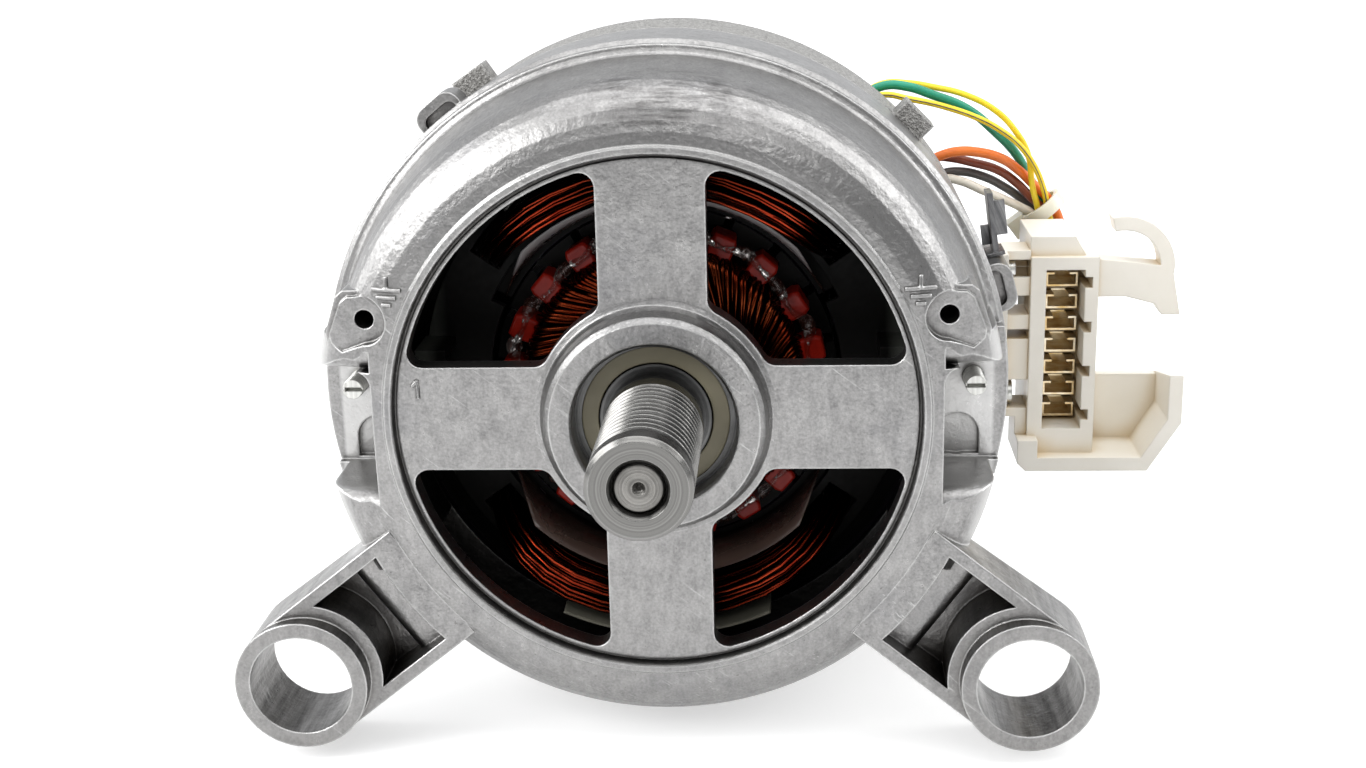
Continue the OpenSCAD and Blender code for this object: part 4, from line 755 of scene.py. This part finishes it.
LEADS = {
    "green_lead": ("green_pvc", 2.1, [
        (36.4, 122, 43.4), (38.9, 122, 46.4), (42, 122, 49.8), (46.5, 122, 52.2), (51.5, 122, 52),
        (57.5, 122, 50), (65, 122.4, 46.8), (72, 124, 41), (77, 127, 35.5), (80.5, 130.6, 29.6),
        (84.4, 131.6, 23.3), (86.4, 132.3, 17), (87, 132.4, 6), (87, 132.4, -9), (87, 131, -12.6),
        (87, 128.6, -14.2), (87, 122.7, -14.2)]),
    "yellow_lead_a": ("yellow_pvc", 1.4, [
        (36.4, 125, 43.4), (38.9, 125, 46.4), (42.2, 125, 50), (46.5, 125, 52.4), (52, 125, 52.4),
        (58, 124.7, 51.4), (65, 124.3, 49.6), (72, 124, 45.8), (76.3, 124, 41.3), (79.3, 124.6, 36),
        (80.6, 125.4, 28.5), (82.4, 127.2, 21.8), (82.6, 127.3, 17.5), (82.6, 127, 14), (82.6, 125.6, 11.6),
        (82.6, 124.3, 10.8), (82.6, 122.7, 10.8)]),
    "yellow_lead_b": ("yellow_pvc", 1.4, [
        (36.4, 119, 43.4), (38.9, 119, 46.4), (42.2, 119, 49.4), (46.5, 119, 50.6), (52, 119, 49.6),
        (59, 119, 48), (68.5, 119.3, 44.5), (73, 120, 41.8), (76.5, 121, 39), (80, 122.5, 34.5),
        (82.9, 124.8, 28.5), (84.4, 127.2, 23.3), (85.6, 127.3, 18), (86.2, 127.3, 12), (86.2, 126.9, 8.8),
        (86.2, 125.5, 6.5), (86.2, 124.3, 5.8), (86.2, 122.7, 5.8)]),
    "orange_lead": ("orange_pvc", 2.2, [
        (47.9, 119.5, 30.2), (51.3, 119.5, 32.2), (55.5, 119.5, 34.8), (59.5, 119.5, 36.8), (63, 119.6, 37.6),
        (67, 120, 37.4), (72.5, 121.5, 35.8), (77.2, 125.4, 32.4), (80.8, 128.4, 28.8), (85.4, 129.4, 24.1),
        (88, 129.9, 18.5), (89.5, 130, 12), (89.6, 130, 0), (89.6, 128.9, -2.8), (89.6, 126.8, -4.2),
        (89.6, 122.7, -4.2)]),
    "brown_lead": ("brown_pvc", 2.0, [
        (47.9, 124.5, 30.2), (51.3, 124.5, 32.2), (55.5, 124.5, 34.4), (59, 124.5, 35.6), (62, 124.5, 35.4),
        (67, 124.8, 34.2), (72.5, 125.6, 32.4), (77, 127.5, 29.2), (80.5, 128.9, 25.6), (83.4, 129.4, 22.6),
        (85, 129.7, 17), (84.6, 129.7, 8), (84.4, 129.2, 3.6), (84.4, 127.4, 1.3), (84.4, 125.4, 0.8),
        (84.4, 122.7, 0.8)]),
    "grey_lead": ("grey_pvc", 2.0, [
        (50.1, 124.5, 26.4), (53.5, 124.5, 28.4), (57, 124.5, 30.4), (60.2, 124.5, 31.9), (64, 125, 32.2),
        (69.5, 126, 30.8), (74.5, 128, 28), (79, 130.8, 24.6), (82.4, 131.6, 21.8), (82.2, 132.3, 16),
        (82.2, 132.4, 4), (82.2, 132.4, -14), (82.2, 131, -17.6), (82.2, 128.6, -19.2), (82.2, 122.7, -19.2)]),
    "white_lead": ("white_pvc", 2.0, [
        (50.1, 119.5, 26.4), (53.5, 119.5, 28.4), (57, 119.5, 30.3), (60.1, 119.5, 31.5), (63.5, 119.8, 31),
        (69, 121.5, 28.4), (74.5, 125, 25.5), (78.4, 128, 23.2), (81.4, 129.4, 21.1), (82, 129.4, 19.5),
        (82.4, 129.6, 17), (81.2, 129.8, 12.5), (80.2, 129.9, 6), (80.2, 129.9, -5), (80.2, 128.8, -8),
        (80.2, 126.8, -9.2), (80.2, 122.7, -9.2)]),
}
STRIPED_LEAD = "yellow_lead_b"
STRIPE_DIAMETER = 0.3 * MM
STRIPE_SINK = 0.3
STRIPE_SPAN = slice(1, -6)


def add_leads():
    for name, (slot, diameter, route) in LEADS.items():
        points = [Vector(place) * MM for place in route]
        curve = strand_curve(name + "_sleeve", [points], diameter * MM, "BEZIER", sides=4, steps=6)
        add_piece(name + "_sleeve", curve, "motor_frame", slot, name)
        if name == STRIPED_LEAD:
            lift = Vector((0, -(diameter / 2) * MM + STRIPE_DIAMETER * STRIPE_SINK, 0))
            line = [place + lift for place in points[STRIPE_SPAN]]
            stripe = strand_curve("lead_stripe", [line], STRIPE_DIAMETER, "BEZIER", steps=6)
            add_piece("lead_stripe", stripe, "motor_frame", "grey_pvc")


# Field windings: many parallel turns of one wire round each pole

FIELD_WIRE = 0.85 * MM
FIELD_ROWS = 6
FIELD_COLUMNS = 15
FIELD_HEIGHT = 5.3 * MM
FIELD_OVERHANG = 3.2 * MM
FIELD_CORNER = 5.0 * MM
CORNER_STEPS = 6
FIELD_SPAN = math.radians(33)
FIELD_SCATTER = 0.3
FIELD_WANDER = 0.8 * MM
FIELD_WAVE = 0.35 * MM
WANDER_STEP = 0.55
WAVE_STEP = 0.4


def field_stations():
    """Round one saddle loop: share of the half width, share of the half length, direction of the corner."""
    bend = [step * math.pi / (2 * CORNER_STEPS) for step in range(CORNER_STEPS + 1)]
    shares = [0.66, 0.33, 0.0, -0.33, -0.66]
    stations = [(1, 1, a) for a in bend]
    stations += [(s, 1, math.pi / 2) for s in shares]
    stations += [(-1, 1, a + math.pi / 2) for a in bend]
    stations += [(-1, -1, a + math.pi) for a in bend]
    stations += [(-s, -1, 1.5 * math.pi) for s in shares]
    stations += [(1, -1, a + 1.5 * math.pi) for a in bend]
    return stations


def field_route(upright):
    """One long wire: it fills the rows and columns of the bundle turn by turn, never quite straight."""
    inner_r = COIL_HIGH.z - FIELD_HEIGHT + FIELD_WIRE / 2
    row_step = (FIELD_HEIGHT - FIELD_WIRE) / (FIELD_ROWS - 1)
    half_width = inner_r * FIELD_SPAN
    half_length = (STACK_BACK - STACK_FRONT) / 2 + FIELD_OVERHANG
    widest = (COIL_HIGH.y - COIL_LOW.y) / 2 - half_length - FIELD_WIRE / 2
    stations = field_stations()
    route = []
    for column in range(FIELD_COLUMNS):
        for row in range(FIELD_ROWS):
            spread = widest * (column + random.uniform(-FIELD_SCATTER, FIELD_SCATTER)) / (FIELD_COLUMNS - 1)
            spread = min(max(spread, 0), widest)
            sway = random.uniform(0, 2 * math.pi)
            for index, (across, along, turn) in enumerate(stations):
                reach = FIELD_CORNER + spread + FIELD_WANDER * math.sin(sway + index * WANDER_STEP)
                side = across * (half_width - FIELD_CORNER) + reach * math.cos(turn)
                depth = along * (half_length - FIELD_CORNER) + reach * math.sin(turn)
                lift = inner_r + row_step * row + FIELD_WAVE * math.sin(sway * 2 + index * WAVE_STEP)
                angle = math.pi / 2 - side / inner_r
                route.append(round_shaft(upright * lift, angle, STACK_MIDDLE - depth))
    return route


def add_field_windings():
    for name, upright in (("upper_field_coil", 1), ("lower_field_coil", -1)):
        wire = strand_curve(name + "_wire", [field_route(upright)], FIELD_WIRE, sides=1)
        add_piece(name + "_wire", wire, "motor_frame", "enamelled_copper", name, finish=field_finish)


# Rotor winding: a bed of wires at each end, and strands that fan from the slots towards the shaft

SLOTS = 20
SLOT_STEP = 2 * math.pi / SLOTS
SLOT_TURN = math.radians(13)
STRAND = 1.05 * MM
STRANDS_PER_SLOT = 11
SLOT_SPREAD = math.radians(6)
FAN_SPREAD = math.radians(17)
FAN_SCATTER = 0.03
# How near the shaft a strand would pass, and how that and its rise vary, in millimetres
FAN_NEAREST = 13.8
NEAREST_SCATTER = 1.2
RISE_SCATTER = 1.4
# Radius in millimetres and height over the iron, then radius and share of the rise, from the slot inwards
FAN_ROOT = ((28.2, -1.0 * MM), (28.9, 2.0 * MM))
FAN_BEND = (28.8, 0.55)
FAN_PATH = ((27.6, 0.86), (25.2, 0.97), (22.0, 1.0), (19.0, 0.99), (16.8, 0.96), (15.2, 0.88))
BED_BORE = 8.52 * MM
BED_NECK = 3 * MM
BED_SINK = 0.6 * MM
LATHE_STEPS = 96


def fan_routes(face, outward):
    """Strands at one end of the stack."""
    far = abs(FAN_FRONT - STACK_FRONT) - STRAND
    routes = []
    for slot in range(SLOTS):
        middle = SLOT_TURN + SLOT_STEP * slot
        for strand in range(STRANDS_PER_SLOT):
            share = strand / (STRANDS_PER_SLOT - 1) - 0.5
            angle = middle + share * FAN_SPREAD + random.uniform(-FAN_SCATTER, FAN_SCATTER)
            start_angle = middle + share * SLOT_SPREAD
            nearest = FAN_NEAREST + random.uniform(-NEAREST_SCATTER, NEAREST_SCATTER)
            rise = far - random.uniform(0, RISE_SCATTER) * MM
            shapes = [(radius, start_angle, height) for radius, height in FAN_ROOT]
            shapes.append((FAN_BEND[0], start_angle * 0.5 + angle * 0.5, rise * FAN_BEND[1]))
            opening = math.acos(nearest / FAN_PATH[0][0])
            for radius, rise_share in FAN_PATH:
                shapes.append((radius, angle - opening + math.acos(nearest / radius), rise * rise_share))
            routes.append([round_shaft(r * MM, a, face + outward * d) for r, a, d in shapes])
    return routes


def lathe_profile(shape, profile):
    """Spins a closed outline of radius and depth points once round the shaft."""
    corners = [shape.verts.new((r, y, 0)) for r, y in profile]
    edges = [shape.edges.new((a, b)) for a, b in zip(corners, corners[1:] + corners[:1])]
    bmesh.ops.spin(
        shape, geom=corners + edges, cent=(0, 0, 0), axis=(0, 1, 0), angle=2 * math.pi, steps=LATHE_STEPS,
        use_merge=True,
    )


def add_rotor_winding():
    routes = [route for end in STACK_ENDS for route in fan_routes(*end)]
    wires = strand_curve("rotor_winding_strands", routes, STRAND, "BEZIER", sides=1, steps=3)
    add_piece("rotor_winding_strands", wires, "rotor", "enamelled_copper", "rotor_winding")
    bed = bmesh.new()
    reach = BED_HIGH.z - BED_SINK
    depth = STACK_FRONT - BED_LOW.y
    outline = (
        (BED_BORE, 0.0), (BED_BORE, 0.80), (BED_BORE + BED_NECK, 0.92), (reach * 0.72, 0.90), (reach * 0.90, 0.74),
        (reach, 0.45), (reach, 0.0),
    )
    for face, outward in STACK_ENDS:
        lathe_profile(bed, [(radius, face + outward * depth * share) for radius, share in outline])
    add_piece("rotor_winding_bed", mesh_from(bed, "rotor_winding_bed"), "rotor", "enamelled_copper", "winding_core")


# Slot ends: folded fibre that closes each slot and stands out of the iron

BLOCK_OUT = 7.2 * MM
# Offset along the rim and radius, in millimetres
BLOCK_FOLD = [(-2.4, 28.0), (2.4, 28.0), (2.7, 31.7), (2.1, 33.0), (-2.1, 33.0), (-2.7, 31.7)]
BLOCK_SHORT = 0.9
BLOCK_LEAN = 0.35
BLOCK_WALL = 0.5 * MM
BLOCK_HOLLOW = 0.45 * MM
BLOCK_EDGE = 0.2 * MM


def add_slot_ends():
    shape = bmesh.new()
    for slot in range(SLOTS):
        for face, outward in STACK_ENDS:
            out = outward * (BLOCK_OUT - random.uniform(0, BLOCK_SHORT) * MM)
            lean = random.uniform(-BLOCK_LEAN, BLOCK_LEAN) * MM
            row = [shape.verts.new((r * MM, face, t * MM)) for t, r in BLOCK_FOLD]
            made = bmesh.ops.extrude_face_region(shape, geom=[shape.faces.new(row)])["geom"]
            lip = [v for v in made if isinstance(v, bmesh.types.BMVert)]
            front = [f for f in made if isinstance(f, bmesh.types.BMFace)]
            bmesh.ops.translate(shape, verts=lip, vec=(lean, out, lean))
            inner = bmesh.ops.inset_individual(shape, faces=front, thickness=BLOCK_WALL, depth=-BLOCK_HOLLOW)
            corners = {v for f in front + inner["faces"] for v in f.verts}
            turn = Matrix.Rotation(-SLOT_TURN - SLOT_STEP * slot, 3, "Y")
            bmesh.ops.rotate(shape, verts=list(corners.union(row)), cent=(0, 0, 0), matrix=turn)
    piece = add_piece("slot_ends", mesh_from(shape, "slot_ends", smooth=False), "rotor", "red_fibre", "slot_wedges")
    soft = piece.modifiers.new("soft_edges", "BEVEL")
    soft.width = BLOCK_EDGE
    soft.segments = 2
    soft.limit_method = "ANGLE"


# Lacing: a varnished cord along the slot ends, thick with varnish between them

LACING_CORD = 2.0 * MM
# Radius, distance from the iron and range of thickness, over a slot end and between two
LACING_OVER = (30.4, 7.5, (0.35, 0.6))
LACING_BETWEEN = (31.0, 6.0, (1.2, 1.9))
# Scatter of its angle, as a share of a slot, of its radius and of its distance from the iron
LACING_SHIFT = (-0.06, 0.06)
LACING_SAG = (-0.9, 0.5)
LACING_DRIFT = (-0.2, 0.2)


def add_lacing():
    routes, widths = [], []
    for face, outward in STACK_ENDS:
        route, width = [], []
        for index in range(2 * SLOTS):
            radius, depth, thickness = LACING_BETWEEN if index % 2 else LACING_OVER
            angle = SLOT_TURN + SLOT_STEP * (index / 2 + random.uniform(*LACING_SHIFT))
            radius += random.uniform(*LACING_SAG)
            depth += random.uniform(*LACING_DRIFT)
            route.append(round_shaft(radius * MM, angle, face + outward * depth * MM))
            width.append(random.uniform(*thickness))
        routes.append(route)
        widths.append(width)
    curve = strand_curve("winding_lacing", routes, LACING_CORD, "BEZIER", sides=4, steps=6)
    for spline, width in zip(curve.splines, widths):
        spline.use_cyclic_u = True
        for knot, thickness in zip(spline.bezier_points, width):
            knot.radius = thickness
    add_piece("winding_lacing", curve, "rotor", "clear_film", finish=varnish_finish)


# Films under the coils: thin sheets that flare out of the pole faces, cut slanting at their ends

FILM_INNER = 36.9 * MM
FILM_FLARE = 2.6 * MM
FILM_OUT = 12.0 * MM
FILM_SHEET = 0.35 * MM
FILM_SWING = math.radians(62)
FILM_SLANT = math.radians(20)
FILM_LEAST = 0.08
FILM_ROWS = 4
FILM_STEPS = 40


def add_films():
    """Each film is spun as a plain sheet, one metre long for shares of its length, and then given its shape."""
    shape = bmesh.new()
    for side in (math.pi / 2, -math.pi / 2):
        shares = [step / FILM_ROWS for step in range(FILM_ROWS + 1)]
        chain = [shape.verts.new(round_shaft(FILM_INNER, side - FILM_SWING, -share)) for share in shares]
        edges = [shape.edges.new(pair) for pair in zip(chain, chain[1:])]
        spin_round_shaft(shape, chain + edges, FILM_SWING, FILM_STEPS)
    for corner in shape.verts:
        angle = math.atan2(corner.co.z, corner.co.x)
        swing = abs(abs(angle) - math.pi / 2)
        reach = -corner.co.y * min(1.0, (FILM_SWING - swing) / FILM_SLANT + FILM_LEAST)
        corner.co = round_shaft(FILM_INNER + FILM_FLARE * reach ** 2, angle, STACK_FRONT - FILM_OUT * reach)
    bmesh.ops.recalc_face_normals(shape, faces=shape.faces)
    bmesh.ops.solidify(shape, geom=shape.faces[:], thickness=FILM_SHEET)
    add_piece("coil_films", mesh_from(shape, "coil_films"), "motor_frame", "clear_film", "insulating_sleeve")


# Coil frames: cream lips over and under the front coils, and webs behind the gaps between the poles

LIP_OUTLINE = [(49.4, -1.0), (49.4, -18.0), (49.7, -18.6), (50.1, -18.0), (50.1, -1.0)]
LIP_SWING = math.radians(25)
LIP_STEPS = 24
WEB_OUTLINE = [(34.0, 2.2), (34.0, 3.6), (39.6, 3.6), (39.6, 1.8)]
WEB_SWING = math.radians(26)
WEB_STEPS = 16


def add_frame_lips():
    shape = bmesh.new()
    for middle in (math.pi / 2, 1.5 * math.pi):
        curved_plate(shape, LIP_OUTLINE, middle, LIP_SWING, STACK_FRONT, LIP_STEPS)
    lips = mesh_from(shape, "frame_lips", smooth=False)
    add_piece("frame_lips", lips, "motor_frame", "white_plastic", finish=finishes["lip_plastic"])


def add_frame_webs():
    shape = bmesh.new()
    for middle in (0.0, math.pi):
        curved_plate(shape, WEB_OUTLINE, middle, WEB_SWING, STACK_BACK, WEB_STEPS)
    add_piece("frame_webs", mesh_from(shape, "frame_webs", smooth=False), "motor_frame", "white_plastic")


# Springs behind the brushes: wire coiled along the length of each CAD spring

SPRING_WIRE = 0.5 * MM
SPRING_SIDES = 8
SPRING_TURNS = 7
SPRING_STEPS = 16


def add_brush_springs():
    for name, side in (("left_brush", -1), ("right_brush", 1)):
        low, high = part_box(name + "_spring")
        near, far = (low.x, high.x) if side > 0 else (high.x, low.x)
        axis_y = (low.y + high.y) / 2
        coil_r = high.z - SPRING_WIRE / 2
        steps = SPRING_TURNS * SPRING_STEPS
        start = near + side * SPRING_WIRE / 2
        pitch = (far - near - side * SPRING_WIRE) / steps
        shape = bmesh.new()
        ring = bmesh.ops.create_circle(shape, cap_ends=True, segments=SPRING_SIDES, radius=SPRING_WIRE / 2)["verts"]
        bmesh.ops.translate(shape, verts=ring, vec=(start, axis_y + coil_r, 0))
        bmesh.ops.spin(
            shape, geom=shape.faces[:], cent=(start, axis_y, 0), axis=(1, 0, 0), dvec=(pitch, 0, 0),
            angle=2 * math.pi * SPRING_TURNS, steps=steps, use_merge=False,
        )
        mesh = mesh_from(shape, name + "_spring_coil")
        coil = add_piece(name + "_spring_coil", mesh, "motor_frame", "bright_steel", name + "_spring")
        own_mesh(coil)


# Threads on the tips of the clamp screws

THREAD_R = 1.9 * MM
THREAD_PITCH = 0.8 * MM
THREAD_RIDGE = 0.5 * MM
THREAD_START = 0.5 * MM
THREAD_TURNS = 9
THREAD_STEPS = 16
SCREW_X = 61.7 * MM
SCREW_Z = 1.9 * MM


def add_screw_threads():
    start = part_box("clamp_screws")[0].y + THREAD_START
    shares = [step / THREAD_STEPS for step in range(THREAD_STEPS * THREAD_TURNS)]
    helix = [round_shaft(THREAD_R, 2 * math.pi * share, start + THREAD_PITCH * share) for share in shares]
    routes = [[place + Vector((side * SCREW_X, 0, SCREW_Z)) for place in helix] for side in (-1, 1)]
    threads = strand_curve("screw_threads", routes, THREAD_RIDGE, sides=1)
    add_piece("screw_threads", threads, "motor_frame", "zinc_steel")


# Marks cast into the front shield, two earth symbols and the mould's number: places in millimetres of the front view

MARK_STROKE = 0.9 * MM
STROKE_STEPS = 8
RIDGE_R = 52.2
SHOULDER_ROUND = 12.0
SHOULDER_FACE = 39.4
SPOKE_FACE = 40.7
EARTH_PLACES = ((-50.0, 25.6), (49.6, 25.0))
EARTH_STEM = 2.5
# Drop and half width of each bar
EARTH_BARS = ((0.0, 2.9), (1.4, 1.9), (2.8, 0.9))
MOULD_DIGIT = ((-46.5, 6.6), (-45.6, 7.6), (-45.4, 7.6), (-45.4, 4.2))


def on_shoulder(x, z):
    """The place on the front shoulder, whose edge is rounded, at a point of the front view."""
    fall = max(0.0, math.hypot(x, z) - RIDGE_R)
    return Vector((x, SHOULDER_FACE + SHOULDER_ROUND - math.sqrt(SHOULDER_ROUND ** 2 - fall ** 2), z)) * MM


def stroke(start, end):
    shares = [step / STROKE_STEPS for step in range(STROKE_STEPS + 1)]
    return [on_shoulder(*[a + (b - a) * share for a, b in zip(start, end)]) for share in shares]


def earth_symbol(x, z):
    bars = [stroke((x - half, z - drop), (x + half, z - drop)) for drop, half in EARTH_BARS]
    return [stroke((x, z + EARTH_STEM), (x, z))] + bars


def add_cast_marks():
    routes = [line for place in EARTH_PLACES for line in earth_symbol(*place)]
    routes.append([Vector((x, SPOKE_FACE, z)) * MM for x, z in MOULD_DIGIT])
    marks = strand_curve("cast_marks", routes, MARK_STROKE, sides=3)
    add_piece("cast_marks", marks, "motor_frame", "cast_aluminium")


# Stage: a pale floor, soft lights and a sky that is brighter behind

FLOOR_HALF = 8.0
LIGHT_TARGET = Vector((0.0, 0.06, 0.0))
# Place, width, height, and brightness as a mirror would show it
SOFTBOXES = {
    "top_softbox": ((0.0, 0.0, 0.80), 0.85, 0.75, 2.5),
    "upper_left_softbox": ((-0.74, -0.12, 0.52), 0.75, 0.6, 4.0),
    "front_left_softbox": ((-0.66, -0.50, 0.54), 0.6, 0.5, 4.4),
    "left_softbox": ((-0.85, 0.25, 0.28), 0.6, 0.5, 2.3),
    "upper_right_softbox": ((0.64, 0.06, 0.56), 0.6, 0.6, 2.8),
    "right_softbox": ((0.88, 0.12, 0.28), 0.5, 0.5, 2.2),
    "front_softbox": ((0.15, -0.95, 0.75), 0.8, 0.45, 2.4),
}


def floor_paper():
    """White paper that glows a little to the camera and in reflections, more so further back."""
    material, tree, shader, place = start_material("floor_paper")
    tone = mix_colour(tree, noise(tree, place, 2.0, 2.0), (0.55, 0.55, 0.55), (0.57, 0.57, 0.57))
    path = put(tree, "ShaderNodeLightPath").outputs
    mirrored = calculate(tree, "MAXIMUM", path["Is Glossy Ray"], path["Is Transmission Ray"])
    seen = calculate(tree, "MAXIMUM", path["Is Camera Ray"], mirrored)
    glow = remap(tree, split(tree, place)["Y"], 0.1, 1.2, 0.56, 0.9)
    wire_up(shader, Base_Color=tone, Roughness=0.9)
    wire_up(shader, Emission_Color=(1, 1, 1), Emission_Strength=calculate(tree, "MULTIPLY", seen, glow))
    return material


def add_floor():
    shape = bmesh.new()
    bmesh.ops.create_grid(shape, x_segments=1, y_segments=1, size=FLOOR_HALF)
    bmesh.ops.translate(shape, verts=shape.verts, vec=(0, 0, FLOOR_Z))
    mesh = bpy.data.meshes.new("floor")
    shape.to_mesh(mesh)
    shape.free()
    mesh.materials.append(floor_paper())
    link_object("floor", mesh)


def add_light():
    for name, (place, width, height, brightness) in SOFTBOXES.items():
        data = bpy.data.lights.new(name, "AREA")
        data.shape = "RECTANGLE"
        data.size = width
        data.size_y = height
        data.energy = brightness * math.pi * width * height
        lamp = link_object(name, data)
        lamp.location = place
        lamp.rotation_euler = (LIGHT_TARGET - Vector(place)).to_track_quat("-Z", "Y").to_euler()
    world = bpy.data.worlds.new("studio")
    world.use_nodes = True
    tree = world.node_tree
    away = split(tree, put(tree, "ShaderNodeTexCoord").outputs["Generated"])["Y"]
    sky = tree.nodes["Background"]
    fill(sky.inputs["Color"], (0.97, 0.98, 1.0))
    fill(sky.inputs["Strength"], remap(tree, away, -0.4, 0.6, 0.27, 0.95))
    bpy.context.scene.world = world


add_camera()
add_leads()
dress_cad_nodes()
add_field_windings()
add_rotor_winding()
add_slot_ends()
add_lacing()
add_films()
add_frame_lips()
add_frame_webs()
add_brush_springs()
add_screw_threads()
add_cast_marks()
add_floor()
add_light()
bpy.context.scene.view_settings.view_transform = "Standard"

bpy.context.view_layer.update()
